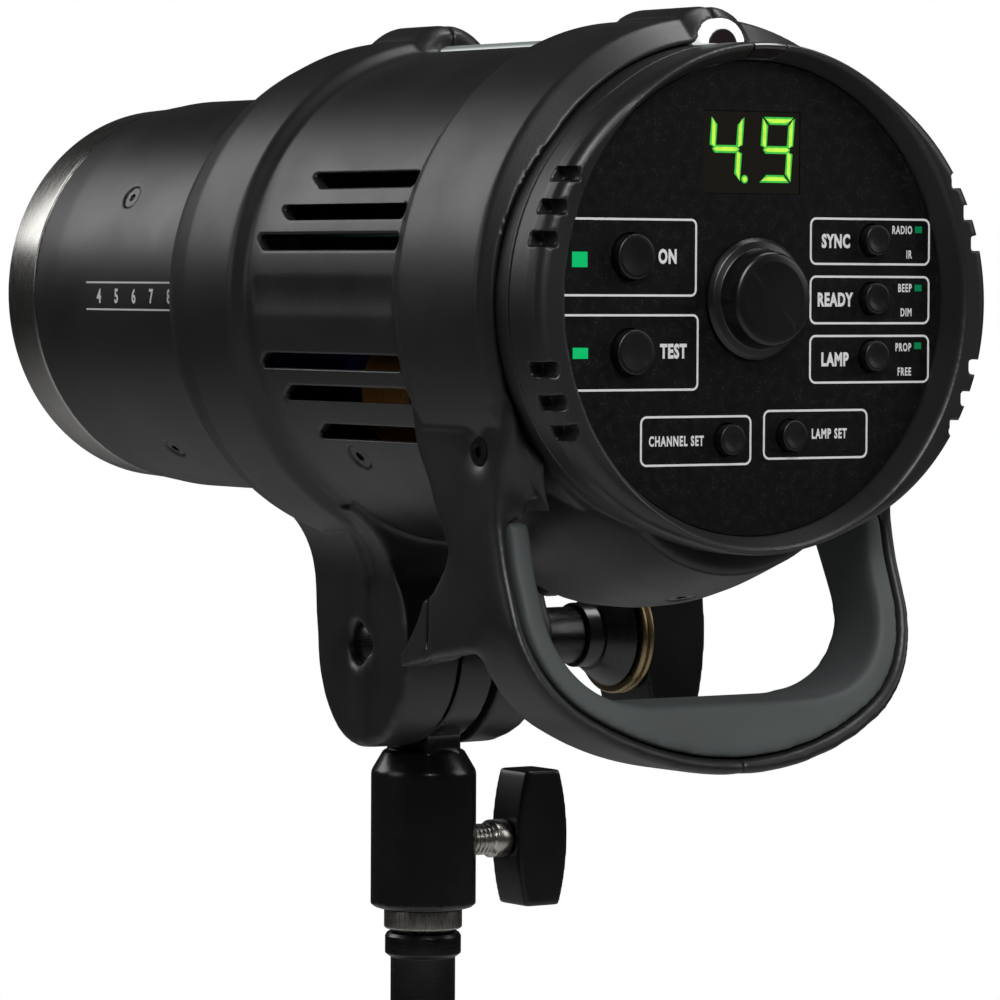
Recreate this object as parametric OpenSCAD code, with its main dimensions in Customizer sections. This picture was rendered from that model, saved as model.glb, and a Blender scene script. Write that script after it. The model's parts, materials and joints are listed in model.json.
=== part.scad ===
// Monolight strobe: a self-contained studio flash head on a tilting stand adapter.
// Millimetres. +Y is the way the light travels, +X the operator's right, +Z up.
// The origin is the centre of the stand socket's mouth.

/* [Body] */
// height of the optical axis above the socket mouth
axis_z = 156; // [140:1:175]
// distance of the control panel rim behind the stand axis
rear_y = -136.6; // [-160:0.1:-120]
// radius of the drum between the two bumpers
drum_r = 59.5; // [55:0.5:64]
// radius of the front bumper
bumper_r = 62.5; // [60:0.5:66]
// radius of the rear bumper
rear_bumper_r = 64; // [62:0.5:68]
// forward end of the front bumper, ahead of the panel rim
bumper_front = 163.4; // [150:0.1:175]
// thickness of the moulded walls
wall = 2.7; // [2:0.1:4]

/* [Flash head] */
// radius of the barrel, which takes the light shapers
barrel_r = 50; // [48:0.5:52]
// barrel's forward end, ahead of the panel rim
barrel_front = 245.2; // [230:0.1:255]
// front end of the metal ring, ahead of the panel rim
ring_front = 260.8; // [250:0.1:270]
// radius of the ring-shaped flash tube
tube_ring_r = 29; // [20:0.5:34]

/* [Control panel] */
// radius of the control panel
panel_r = 53.4; // [50:0.1:56]
// depth of the panel face inside the rim
panel_d = 3; // [1:0.1:6]
// radius of the dial's skirt
dial_r = 13.9; // [10:0.1:15]
// height of the dial above the panel
dial_h = 7.6; // [5:0.1:12]
// radius of the two large buttons
big_button_r = 5.1; // [3:0.1:6]
// radius of the five small buttons
small_button_r = 3.5; // [2.5:0.1:5]
// how far the buttons stand above the panel
button_h = 2.6; // [1.5:0.1:4]

/* [Stand adapter] */
// height of the tilt axis above the socket mouth
tilt_z = 71; // [60:0.5:85]
// radius of the collar around the stand stud
collar_r = 13; // [12:0.1:16]
// radius of the socket for a 16 mm stud
socket_r = 8.1; // [8:0.05:8.5]
// depth of the socket
socket_depth = 33; // [25:1:38]
// radius of the tilting tongue
tongue_r = 24.5; // [20:0.5:28]
// thickness of the tongue
tongue_t = 10; // [8:0.5:14]
// radius of the hub that holds the tongue
hub_r = 25.5; // [22:0.5:28]
// height of the clamp screw above the socket mouth
clamp_z = 21; // [12:0.5:28]

/* [Handle] */
// outer half width of the handle loop
loop_x = 57; // [50:0.5:64]
// thickness of the handle's arms
arm_t = 10; // [8:0.5:14]
// height of the handle's lowest point, below the optical axis
loop_bottom = 108; // [95:0.5:115]

/* [Hidden] */
$fn = 96;
eps = 0.05;
hub_z = tilt_z - axis_z;          // tilt axis, from the optical axis
stand_d = -rear_y;                // stand axis, ahead of the panel rim
tongue_gap = 1.5;                 // room beside the tongue for a friction disc
axle_r = 5;
big_buttons = [[-34.5, 9.3], [-34.5, -11.9]];
side_buttons = [[33.6, 13.5], [33.6, 0.2], [33.6, -13]];
low_buttons = [[-7.5, -31.6], [10.1, -30.9]];
// notches in the bezel's sides: height, distance of the inner end from the middle
notches = [[27.2, 52.3], [20, 55.8], [12.9, 58.2], [-15.5, 58], [-22.8, 55.6], [-29.4, 52.2]];
side_c = 10.2;                    // the bezel's side lobes, from the middle
// vents: height above the optical axis, rear end, forward end, slant of that end
vents = [[27, 104, -7], [19.6, 113, -6], [12.6, 120.5, -4],
         [-15.2, 120.5, 4], [-22.8, 114, 6], [-31.6, 106, 7]];
vent_h = 3.5;
vent_rear = 60.9;
screw_list = [[bumper_r - 3, 104, -42], [rear_bumper_r, 50, -38.5]];

body_black = [0.07, 0.07, 0.075];
trim_black = [0.03, 0.03, 0.035];
soft_grey = [0.16, 0.17, 0.17];
steel = [0.62, 0.61, 0.58];
satin = [0.33, 0.33, 0.31];

// local +Z becomes +Y, measured forward of the panel rim, on the optical axis
module axial(d = 0) {
  translate([0, rear_y + d, axis_z]) rotate([-90, 0, 0]) children();
}
// turned shape from points [radius, distance ahead of the panel rim]
module turned(pts) {
  axial() rotate_extrude() polygon(pts);
}
// turned shape about a line parallel to the optical axis, at x and height z
module turned_at(x, z, pts) {
  translate([x, rear_y, axis_z + z]) rotate([-90, 0, 0]) rotate_extrude() polygon(pts);
}
// outline [x, z] seen from the rear, extruded from d0 to d1
module from_rear(d0, d1) {
  translate([0, rear_y + d1, axis_z]) rotate([90, 0, 0]) linear_extrude(d1 - d0) children();
}
// outline [d, z] seen from the side, extruded from x0 to x1
module from_side(x0, x1) {
  translate([x0, rear_y, axis_z]) rotate([90, 0, 90]) linear_extrude(x1 - x0) children();
}
// outline [x, d] seen from above, extruded from z0 to z1
module from_above(z0, z1) {
  translate([0, rear_y, axis_z + z0]) linear_extrude(z1 - z0) children();
}
module rear_rod(x, z, r, d0, d1) {
  axial_at(x, z, d0) cylinder(r = r, h = d1 - d0);
}
module axial_at(x, z, d) {
  translate([x, rear_y + d, axis_z + z]) rotate([-90, 0, 0]) children();
}
// cylinder along +X
module xrod(x0, x1, y, z, r) {
  translate([x0, y, z]) rotate([0, 90, 0]) cylinder(r = r, h = x1 - x0);
}
module xcone(x0, x1, y, z, r0, r1) {
  translate([x0, y, z]) rotate([0, 90, 0]) cylinder(r1 = r0, r2 = r1, h = x1 - x0);
}
module left_half() {
  intersection() {
    children();
    translate([-200.1, -300, -20]) cube([200, 600, 400]);
  }
}
module rounded_rect(w, h, r) {
  square([w - 2 * r, h], center = true);
  square([w, h - 2 * r], center = true);
  for (x = [-1, 1], z = [-1, 1]) translate([x * (w / 2 - r), z * (h / 2 - r)]) circle(r);
}

// ---------- stand adapter ----------
module stand_adapter() {
  color(trim_black)
  difference() {
    union() {
      translate([0, 0, 5.2]) cylinder(r = collar_r - 0.8, h = 0.9);
      translate([0, 0, 6]) cylinder(r = collar_r, h = 33);
      translate([0, 0, 39]) cylinder(r1 = collar_r, r2 = 9.8, h = 5.4);
      translate([-tongue_t / 2, -9.2, 40]) cube([tongue_t, 18.4, 16]);
      xrod(-tongue_t / 2, tongue_t / 2, 0, tilt_z, tongue_r);
    }
    translate([0, 0, -1]) cylinder(r = 9.2, h = 12);
    translate([0, 0, 10.9]) cylinder(r = socket_r, h = socket_depth - 10.9);
    xrod(0, 30, 0, clamp_z, 4.05);
    xrod(-20, 20, 0, tilt_z, axle_r + 0.05);
  }
}
module socket_bush() {
  color(steel)
  difference() {
    union() {
      cylinder(r = 9.7, h = 4.9);
      translate([0, 0, 4.8]) cylinder(r = 9.15, h = 6);
    }
    translate([0, 0, -1]) cylinder(r = socket_r, h = 20);
  }
}
module clamp_tip() {
  color([0.72, 0.58, 0.3]) xrod(8.7, 10.6, 0, clamp_z, 2.9);
}
module clamp_screw() {
  color(steel) {
    xrod(10.9, 24.2, 0, clamp_z, 4);
    xrod(19.5, 24.2, 0, clamp_z, 4.8);
    xrod(24, 30, 0, clamp_z, 3.4);
  }
}
module clamp_knob() {
  color(trim_black)
  translate([24.4, 0, clamp_z])
  difference() {
    intersection() {
      translate([0, -6.3, -17]) cube([15, 12.6, 34]);
      union() {
        translate([-44, 0, 0]) rotate([90, 0, 0]) cylinder(r = 59, h = 20, center = true);
      }
      translate([59, 0, 0]) rotate([90, 0, 0]) cylinder(r = 59, h = 20, center = true);
    }
    translate([-1, 0, 0]) rotate([0, 90, 0]) cylinder(r = 3.45, h = 6.8);
  }
}

// ---------- housings: drum, front bumper, front leg and hub ----------
leg_front = 15.2;                 // half width of the leg at its front face
leg_slant = 10;
fillet_r = 23.6;
umb = [11.2, -66];                // umbrella tube, x and height
umb_lock = 82;                    // its lock screw, ahead of the panel rim
module leg_outline(grow) {
  fx = -(leg_front + grow) - fillet_r;
  reach = 57.4 + fillet_r;
  fz = -sqrt(reach * reach - fx * fx);
  k = 57.4 / reach;
  difference() {
    union() {
      translate([-(leg_front + grow), -112]) square([leg_front + grow + 30, 112 + fz]);
      polygon([[30, -20], [fx * k, fz * k], [fx, fz - 0.01], [30, fz - 1]]);
    }
    translate([fx, fz]) circle(fillet_r);
  }
}
// slanted so that the leg is narrower at the front
module left_leg(d0, d1, grow) {
  translate([0, rear_y + bumper_front, axis_z]) rotate([0, 0, -leg_slant])
    rotate([90, 0, 0]) translate([0, 0, bumper_front - d1])
      linear_extrude(d1 - d0) leg_outline(grow);
}
// side outline: round hub below, straight leg above
module hub_side() {
  translate([stand_d, hub_z]) circle(hub_r);
  polygon([[119, -20], [119, -64], [stand_d - hub_r, hub_z], [stand_d + hub_r, hub_z],
           [bumper_front, -78], [bumper_front, -20]]);
}
// channel along the top for the sensor's light bar
module sensor_groove() {
  axial_at(0, 55.6, 10) cylinder(r = 5.4, h = 118);
  axial_at(0, 57.2, 10) cylinder(r = 6.5, h = 9.5);
}
module tongue_slot() {
  x0 = -tongue_t / 2 - tongue_gap;
  w = tongue_t + 2 * tongue_gap;
  xrod(x0, x0 + w, 0, tilt_z, 25.2);
  translate([x0, 0, tilt_z - 30]) cube([w, 40, 41.5]);
  translate([x0, -40, tilt_z - 30]) cube([w, 45, 36]);
}
module vent(v) {
  from_side(-75, -40) translate([0, v[0] - vent_h / 2])
    polygon([[vent_rear, 0], [v[1] + v[2] / 2, 0], [v[1] - v[2] / 2, vent_h],
             [vent_rear, vent_h]]);
}
// recess for a screw head on a drum of radius r, at distance d and height z
module screw_at(r, d, z) {
  a = asin(z / r);
  translate([0, rear_y + d, axis_z]) rotate([0, a, 0]) translate([-r, 0, 0])
    rotate([0, 90, 0]) children();
}
// seat of the screw in the handle's arm
module arm_screw_at() {
  translate([-loop_x, rear_y + 30.4, axis_z - 34.5]) rotate([0, 90, 0]) children();
}
// left half of the front housing with its first n vents
module housing_half(n, screw_z) {
  difference() {
    left_half() union() {
      turned([[50.4, bumper_front], [57.4, bumper_front], [60.4, 157], [bumper_r, 148],
        [bumper_r, 127.6], [drum_r, 124.5], [drum_r, 60.2], [drum_r - wall, 60.2],
        [drum_r - wall, 127], [drum_r - 0.6, 131], [drum_r - 0.6, 147], [53.5, 160.4],
        [50.4, 160.4]]);
      difference() {
        turned_at(0, 52.3, [[0, 124.5], [11.6, 124.5], [13.8, 127.6], [13.8, 146],
          [8.5, 157], [0, 157]]);
        axial() cylinder(r = 59, h = 200);
      }
      intersection() {
        union() {
          left_leg(128.5, bumper_front + 3, 0);
          left_leg(100, 128.6, -2.6);
        }
        from_side(-70, 0) hub_side();
        translate([-100, rear_y + 100, 0]) cube([200, bumper_front - 100, 200]);
      }
    }
    axial(100) cylinder(r = drum_r - wall, h = 50);
    axial(140) cylinder(r = 50.4, h = 60);
    sensor_groove();
    tongue_slot();
    xrod(-60, 20, 0, tilt_z, axle_r + 0.05);
    for (i = [0 : n - 1]) vent(vents[i]);
    screw_at(drum_r, 96, screw_z) translate([0, 0, -0.5]) cylinder(r = 3.4, h = 2.1);
    screw_at(drum_r, 96, screw_z) cylinder(r = 1.6, h = 6.2);
  }
}
module left_housing() {
  color(body_black)
  difference() {
    housing_half(6, -38);
    // shallow dimple on the hub's side
    translate([-18.6, 10.9, tilt_z]) rotate([0, -90, -leg_slant])
      cylinder(r = 6.4, h = 8);
    // recessed label field, left blank
    from_side(-75, -drum_r + 0.5) translate([vent_rear, -9]) square([61, 16.4]);
  }
}
module right_housing() {
  color(body_black)
  difference() {
    mirror([1, 0, 0]) housing_half(3, -44.5);
    connector_room();
    axial_at(umb[0], umb[1], 100) cylinder(r = 4.45, h = 90);
  }
}
module barrel() {
  color(body_black)
  difference() {
    turned([[46.6, 152], [48.5, 152], [48.5, bumper_front + 0.5],
      [barrel_r, bumper_front + 0.5], [barrel_r, 232], [48.9, barrel_front],
      [46.6, barrel_front]]);
    barrel_screw_seats();
  }
}
module barrel_screw_seats() {
  for (s = barrel_screw_pos) barrel_screw(s) translate([0, 0, -0.1])
    cylinder(r = 2.9, h = 1.6);
  for (s = barrel_screw_pos) barrel_screw(s) cylinder(r = 1.3, h = 6);
}
// angle above the horizontal on the left, and side
barrel_screw_pos = [[29.3, 0], [-52, 0], [29.3, 1], [-52, 1]];
module barrel_screw(s) {
  mirror([s[1], 0, 0]) translate([0, rear_y + 205, axis_z]) rotate([0, s[0], 0])
    translate([-barrel_r, 0, 0]) rotate([0, 90, 0]) children();
}
module screw(r, head, shank) {
  difference() {
    union() {
      cylinder(r = r, h = head);
      cylinder(r = r * 0.42, h = head + shank);
    }
    translate([0, 0, -0.1]) cylinder(r = r * 0.45, h = head * 0.7, $fn = 6);
  }
}
module barrel_screws() {
  color(steel) for (s = barrel_screw_pos) barrel_screw(s)
    translate([0, 0, 0.5]) screw(2.7, 1, 2.4);
}
module housing_screws() {
  color(steel) for (m = [0, 1]) mirror([m, 0, 0]) {
    screw_at(drum_r, 96, m == 0 ? -38 : -44.5) translate([0, 0, 0.5]) screw(3.2, 1.1, 4);
    arm_screw_at() translate([0, 0, 0.6]) screw(3.2, 1.1, 5);
  }
  // screw under the chin
  color(steel) chin_screw_at() translate([0, 0, 0.45]) screw(3.2, 1.1, 2.6);
}
module chin_screw_at() {
  translate([0, rear_y + 30, axis_z - 69.25]) rotate([-14.3, 0, 0]) children();
}

// ---------- handle frames: rear bumper, rear leg, strut and outer half of the loop ----------
module loop_outer(x, b) {
  // outline of the loop: straight sides, round corners, slightly crowned base
  r = x - 26;
  t = 2 * atan((b - 70 - r) / 26);
  big = r + 26 / sin(t);
  union() {
    translate([-x, -70]) square([2 * x, 60]);
    for (s = [-1, 1]) translate([s * 26, -70]) circle(r);
    intersection() {
      translate([0, big - b]) circle(big, $fn = 180);
      polygon([[-26 - r * sin(t), -120], [26 + r * sin(t), -120],
               [26 + r * sin(t), -70 - r * cos(t)], [26, -70], [-26, -70],
               [-26 - r * sin(t), -70 - r * cos(t)]]);
    }
  }
}
module loop_opening() {
  x = loop_x - arm_t;
  translate([-x, -70]) square([2 * x, 70]);
  for (s = [-1, 1]) translate([s * 26, -70]) circle(x - 26);
  translate([-26, -70 - (x - 26) - 0.6]) square([52, x - 24]);
}
// side outline of the rear leg and the swept loop
module sweep_side() {
  polygon([[15.6, -16], [15.6, -26], [19, -34], [22.5, -42], [23, -50], [20.8, -60],
    [16.3, -72], [11.4, -86], [6.4, -100], [3.9, -109.5], [31, -109.5], [31, -95],
    [31.5, -86], [33, -77], [37, -68], [41, -60], [45.5, -52], [50, -44],
    [56.5, -35], [58.4, -26], [58.4, -16]]);
}
module strut_side() {
  polygon([[42, -55], [44, -61], [48.7, -66.5], [67, -70], [78, -75.3], [95, -81],
    [111, -85.5], [117, -86], [117, -89.8], [67, -84.3], [48, -82.2], [30, -79.3],
    [28, -79], [28, -55]]);
}
module handle_half(strut) {
  difference() {
    left_half() union() {
      difference() {
        turned([[58.1, 15.6], [58.4, 15.6], [rear_bumper_r, 20.9], [rear_bumper_r, 52],
          [drum_r + 0.6, 59.8], [59.5, 59.8], [59.5, 18.6], [58.1, 18.6]]);
        // opening for the chin of the rear cover
        axial_at(0, chin_z, 0) cylinder(r = chin_r + 0.3, h = 70);
      }
      difference() {
        turned_at(0, 52.6, [[0, 15.6], [9.4, 15.6], [14, 21], [14, 45], [9.5, 58],
          [0, 58]]);
        axial() cylinder(r = 59.5, h = 200);
      }
      // rear leg above, outer band of the loop below
      difference() {
        intersection() {
          from_rear(0, 70) loop_outer(loop_x, loop_bottom);
          from_side(-90, 0) sweep_side();
        }
        axial() cylinder(r = 61, h = 100);
        axial_at(0, chin_z, 0) cylinder(r = chin_r + 0.3, h = 70);
        from_rear(0, 70) loop_opening();
        grip_room(0.05);
      }
      // strut forward to the hub
      if (strut) difference() {
        intersection() {
          from_side(-90, 0) strut_side();
          from_above(-100, -50) polygon([[-loop_x, 30], [-loop_x, 48], [-21.5, 116],
            [-14.5, 113], [-49, 44], [-49, 30]]);
        }
        xrod(-60, 0, 0, tilt_z, hub_r + 0.05);
        grip_room(0.05);
      }
    }
    sensor_groove();
    // room for the cover's side lobes
    for (s = [-1, 1]) turned_at(s * side_c, -1, [[0, 8], [53.3, 8], [53.3, 9.1],
      [50.5, 18.5], [50.5, 18.7], [0, 18.7]]);
    grip_room(0.05);
    arm_screw_at() translate([0, 0, -0.5]) cylinder(r = 3.5, h = 2.3);
    arm_screw_at() cylinder(r = 1.6, h = 8);
  }
}
module left_handle_frame() {
  color(body_black) handle_half(true);
}
module right_handle_frame() {
  color(body_black) difference() {
    mirror([1, 0, 0]) handle_half(false);
    connector_room();
  }
}
module grip_room(c) {
  intersection() {
    from_rear(0, 70) difference() {
      loop_outer(loop_x - 4 + c, loop_bottom - 4 + c);
      loop_opening();
    }
    from_side(-90, 90) translate([0, -120]) square([60, 70 + c]);
  }
}
module handle_grip() {
  color(soft_grey)
  difference() {
    intersection() {
      grip_room(-0.05);
      from_side(-90, 90) sweep_side();
    }
    axial_at(0, chin_z, 0) cylinder(r = chin_r + 0.6, h = 70);
  }
}

// ---------- rear cover, bezel and control panel ----------
chin_r = 48;
chin_z = -24;
module rear_cover() {
  color(body_black)
  difference() {
    union() {
      turned([[54, 9.3], [57.8, 9.3], [57.8, 18.9], [59.2, 18.9], [59.2, 58],
        [54, 58]]);
      for (s = [-1, 1]) turned_at(s * side_c, -1, [[0, 9.3], [52.9, 9.3], [50.2, 18.4],
        [0, 18.4]]);
      intersection() {
        turned_at(0, chin_z, [[0, 9.3], [38.4, 9.3], [41.5, 18], [44.5, 27], [46.8, 36],
          [chin_r, 46], [chin_r, 57], [46.5, 58.6], [0, 58.6]]);
        translate([-60, rear_y, axis_z - 90]) cube([120, 80, 70]);
      }
    }
    axial(11.5) cylinder(r = drum_r - wall - 0.3, h = 60);
    axial() cylinder(r = 56, h = 20);
    turned_at(0, chin_z, [[0, 11.5], [34.6, 11.5], [38.5, 18.5], [41.5, 27.5],
      [43.8, 36.5], [45.2, 46], [45.2, 56.4], [0, 56.4]]);
    sensor_groove();
    // screw seat under the chin
    chin_screw_at() translate([0, 0, -1.5]) cylinder(r = 3.4, h = 3.1);
    chin_screw_at() cylinder(r = 1.5, h = 8);
  }
}
module panel_bezel() {
  color(body_black)
  difference() {
    union() {
      turned([[0, -2.9], [57, -2.9], [57.4, -2.5], [57.8, 0], [57.8, 9.1], [0, 9.1]]);
      for (s = [-1, 1]) turned_at(s * side_c, -1, [[0, -2.9], [51, -2.9], [52.4, -2.3],
        [53.4, -0.8], [53.7, 2], [52.9, 9.1], [0, 9.1]]);
    }
    turned([[0, -4], [56.9, -4], [56.6, -2.85], [56, -2.2], [panel_r + 0.2, panel_d - 0.2],
      [panel_r + 0.2, 6.5], [56.2, 6.5], [56.2, 10], [0, 10]]);
    for (n = notches, s = [0, 1]) mirror([s, 0, 0])
      translate([n[1], rear_y - 4, axis_z + n[0] - 1.7]) cube([15.6, 7, 3.4]);
    // seat for the infrared window
    axial_at(0, 57.1, -6) cylinder(r = 4.5, h = 8.2);
  }
}
module infrared_window() {
  color([0.25, 0.2, 0.22])
  intersection() {
    axial_at(0, 57.1, -2.7) cylinder(r = 4.4, h = 4.8);
    turned([[56.1, -2.2], [56.6, -2.65], [56.9, -2.65], [57.3, -2.2], [57.6, 0], [57.6, 2.1],
      [54.05, 2.1]]);
  }
}
// face of the panel carries the buttons, the dial, the display and the lamps
module control_panel() {
  color([0.02, 0.02, 0.022])
  difference() {
    axial(panel_d) cylinder(r = panel_r, h = 2.4);
    for (b = big_buttons) axial_at(b[0], b[1], 0) cylinder(r = big_button_r + 0.35, h = 9);
    for (b = side_buttons) axial_at(b[0], b[1], 0)
      cylinder(r = small_button_r + 0.35, h = 9);
    for (b = low_buttons) axial_at(b[0], b[1], 0) cylinder(r = small_button_r + 0.35, h = 9);
    axial_at(0, 0, 0) cylinder(r = 3.4, h = 9);
    from_rear(0, 9) for (l = led_pos) translate([l[0], l[1]])
      square([l[2] + 0.2, l[3] + 0.2], center = true);
    from_rear(0, 9) translate([-0.9, 32.9]) square([27.2, 18.6], center = true);
  }
}
led_pos = [[-48.3, 8.6, 4, 3.4], [-48.0, -12.1, 4, 2.4], [47.2, 16, 1.9, 1.5],
           [47.2, 2.6, 1.9, 1.5], [47.2, -10.7, 1.9, 1.5]];
module status_leds() {
  color([0.05, 0.75, 0.3]) for (l = led_pos) {
    from_rear(panel_d - 0.1, panel_d + 3.2) translate([l[0], l[1]])
      square([l[2], l[3]], center = true);
  }
}
module display_module() {
  color([0.03, 0.03, 0.02]) {
    from_rear(panel_d + 0.2, panel_d + 8.6) translate([-0.9, 32.9])
      square([27, 18.4], center = true);
  }
}
module button(x, z, r) {
  axial_at(x, z, panel_d - button_h) difference() {
    union() {
      cylinder(r = r, h = button_h + 2);
      translate([0, 0, button_h + 2]) cylinder(r = r * 0.45, h = 3.4);
    }
    // slightly dished face
    translate([0, 0, -11.75]) sphere(r = 12, $fn = 64);
  }
}
module on_button() {
  color(trim_black) button(big_buttons[0][0], big_buttons[0][1], big_button_r);
}
module test_button() {
  color(trim_black) button(big_buttons[1][0], big_buttons[1][1], big_button_r);
}
module slave_button() {
  color(trim_black) button(side_buttons[0][0], side_buttons[0][1], small_button_r);
}
module ready_button() {
  color(trim_black) button(side_buttons[1][0], side_buttons[1][1], small_button_r);
}
module model_button() {
  color(trim_black) button(side_buttons[2][0], side_buttons[2][1], small_button_r);
}
module channel_button() {
  color(trim_black) button(low_buttons[0][0], low_buttons[0][1], small_button_r);
}
module lamp_set_button() {
  color(trim_black) button(low_buttons[1][0], low_buttons[1][1], small_button_r);
}
module dial() {
  color(trim_black)
  difference() {
    turned([[0, panel_d - dial_h], [8.6, panel_d - dial_h], [9.6, panel_d - dial_h + 0.5],
      [10.3, panel_d - dial_h + 1.6], [10.9, panel_d - 2], [dial_r - 0.6, panel_d - 1.5],
      [dial_r, panel_d - 0.9], [dial_r, panel_d - 0.4], [0, panel_d - 0.4]]);
    axial(panel_d - dial_h + 2) cylinder(r = 3, h = 10);
  }
}
module dial_shaft() {
  color(steel) axial(panel_d - dial_h + 2.05) cylinder(r = 2.95, h = 12.4);
}
module dial_encoder() {
  color([0.2, 0.2, 0.21]) {
    difference() {
      axial(panel_d + 3) translate([-6.5, -6.5, 0]) cube([13, 13, 6]);
      axial(0) cylinder(r = 3.05, h = 12);
    }
  }
}
module panel_board() {
  color([0.05, 0.25, 0.12])
  difference() {
    axial(panel_d + 9.2) cylinder(r = 49.4, h = 1.6);
    for (a = [45 : 90 : 315]) axial_at(45 * cos(a), 45 * sin(a), 0) cylinder(r = 1.6, h = 20);
  }
}

// ---------- sensor on the top ----------
module sensor_light_bar() {
  color([0.85, 0.88, 0.87])
  difference() {
    union() {
      intersection() {
        axial_at(0, 55.6, 18) cylinder(r = 5.3, h = 109.6);
        translate([-6, rear_y, axis_z + 57.1]) cube([12, 140, 10]);
      }
      intersection() {
        axial_at(0, 57.2, 15.4) cylinder(r = 6.4, h = 4);
        translate([-7, rear_y, axis_z + 57.6]) cube([14, 140, 10]);
      }
    }
    axial_at(0, 57.2, 10) cylinder(r = 4, h = 7.5);
    axial() cylinder(r = 59.3, h = 14);
  }
}
module sensor_core() {
  color([0.04, 0.04, 0.05])
  intersection() {
    axial_at(0, 57.2, 15.3) cylinder(r = 3.95, h = 2.1);
    translate([-7, rear_y, axis_z + 57.8]) cube([14, 140, 10]);
  }
}

// ---------- flash head ----------
module front_ring() {
  color(satin)
  turned([[44.6, barrel_front + 0.1], [48.8, barrel_front + 0.1], [48.9, barrel_front + 0.7],
    [48.2, ring_front - 0.8], [47.5, ring_front], [45.4, ring_front],
    [44.6, ring_front - 1]]);
}
module front_glass() {
  color([0.9, 0.93, 0.93, 0.35]) axial(barrel_front + 5) cylinder(r = 44.5, h = 4);
}
module reflector_dish() {
  color([0.8, 0.8, 0.78])
  difference() {
    turned([[16, 216.4], [30, 218.4], [38, 224], [43.2, 236], [44.4, barrel_front + 4],
      [44.4, barrel_front + 4.9], [43.6, barrel_front + 4.9], [42.4, 236.4], [37.4, 224.8],
      [29.8, 219.4], [16, 217.4]]);
    for (x = [-9.6, 9.6]) axial_at(x, -27.3, 200) cylinder(r = 4.2, h = 30);
  }
}
module flash_tube() {
  color([0.86, 0.9, 0.93, 0.5])
  union() {
    difference() {
      axial(229) rotate_extrude() translate([tube_ring_r, 0]) circle(3.4, $fn = 32);
      translate([-9, rear_y + 220, axis_z - 40]) cube([18, 18, 30]);
    }
    for (x = [-9.6, 9.6]) axial_at(x, -27.3, 193.65) cylinder(r = 3.2, h = 35.35);
  }
}
module modelling_lamp() {
  color([0.95, 0.93, 0.85, 0.6])
  turned([[0, 212.2], [6, 212.2], [6, 217], [8.6, 221], [9, 226], [9, 238], [7, 242.5],
    [3.5, 244.6], [0, 245]]);
}
module lamp_socket() {
  color([0.86, 0.84, 0.78])
  difference() {
    axial(193.6) cylinder(r = 13, h = 20.6);
    axial(212) cylinder(r = 6.2, h = 9);
  }
}
module lamp_carrier() {
  color([0.75, 0.74, 0.7])
  difference() {
    axial(190) cylinder(r = 46.3, h = 3.6);
    axial(189) cylinder(r = 4, h = 9);
    for (a = [0 : 30 : 330]) axial_at(37 * cos(a), 37 * sin(a), 180) cylinder(r = 4, h = 20);
  }
}

// ---------- tilt joint ----------
knob_x = 59.5;
module tilt_axle() {
  color(steel) {
    xrod(-17.5, 66, 0, tilt_z, axle_r);
    // collar that carries the clamp's thrust on the right
    xrod(22.8, 44, 0, tilt_z, 7.2);
  }
}
module tilt_friction_discs() {
  color([0.32, 0.2, 0.12]) for (s = [-1, 1]) difference() {
    translate([s > 0 ? tongue_t / 2 + 0.3 : -tongue_t / 2 - 1.5, 0, tilt_z])
      rotate([0, 90, 0]) cylinder(r = 21, h = 1.2);
    xrod(-20, 20, 0, tilt_z, axle_r + 0.3);
  }
}
module tilt_washer() {
  color(steel) difference() {
    union() {
      xrod(44.5, 49, 0, tilt_z, 8.2);
      xcone(49, 55.6, 0, tilt_z, 9, 13.6);
    }
    xrod(40, 60, 0, tilt_z, axle_r + 0.06);
  }
}
module tilt_knob_ring() {
  color(satin) difference() {
    union() {
      xrod(55.9, 57.3, 0, tilt_z, 15.2);
      xrod(57.3, 58.1, 0, tilt_z, 14.2);
      xrod(58.1, 59.5, 0, tilt_z, 15.2);
    }
    xrod(40, 70, 0, tilt_z, axle_r + 0.06);
  }
}
module tilt_knob() {
  color(trim_black)
  difference() {
    intersection() {
      translate([knob_x, -11.5, tilt_z - 22]) cube([18.5, 23, 44]);
      translate([knob_x - 56, 0, tilt_z]) rotate([90, 0, 0])
        cylinder(r = 74.5, h = 40, center = true);
      translate([knob_x + 76, 0, tilt_z]) rotate([90, 0, 0])
        cylinder(r = 76, h = 40, center = true);
    }
    xrod(50, 70, 0, tilt_z, axle_r + 0.06);
  }
}

// ---------- umbrella holder ----------
module umbrella_tube() {
  color(satin) difference() {
    union() {
      axial_at(umb[0], umb[1], 75) cylinder(r = 4.4, h = 88.2);
      axial_at(umb[0], umb[1], 75) cylinder(r = 5.6, h = 14);
      xrod(2.8, umb[0], rear_y + umb_lock, axis_z + umb[1], 3.7);
    }
    axial_at(umb[0], umb[1], 70) cylinder(r = 4.1, h = 100);
    xrod(0, umb[0], rear_y + umb_lock, axis_z + umb[1], 2.05);
  }
}
module umbrella_lock_tip() {
  color([0.72, 0.58, 0.3]) xrod(6, 6.95, rear_y + umb_lock, axis_z + umb[1], 1.5);
}
module umbrella_lock_screw() {
  color(trim_black) union() {
    xrod(-2.6, 1.4, rear_y + umb_lock, axis_z + umb[1], 5.2);
    xrod(1.2, 5.8, rear_y + umb_lock, axis_z + umb[1], 2);
  }
}

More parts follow.
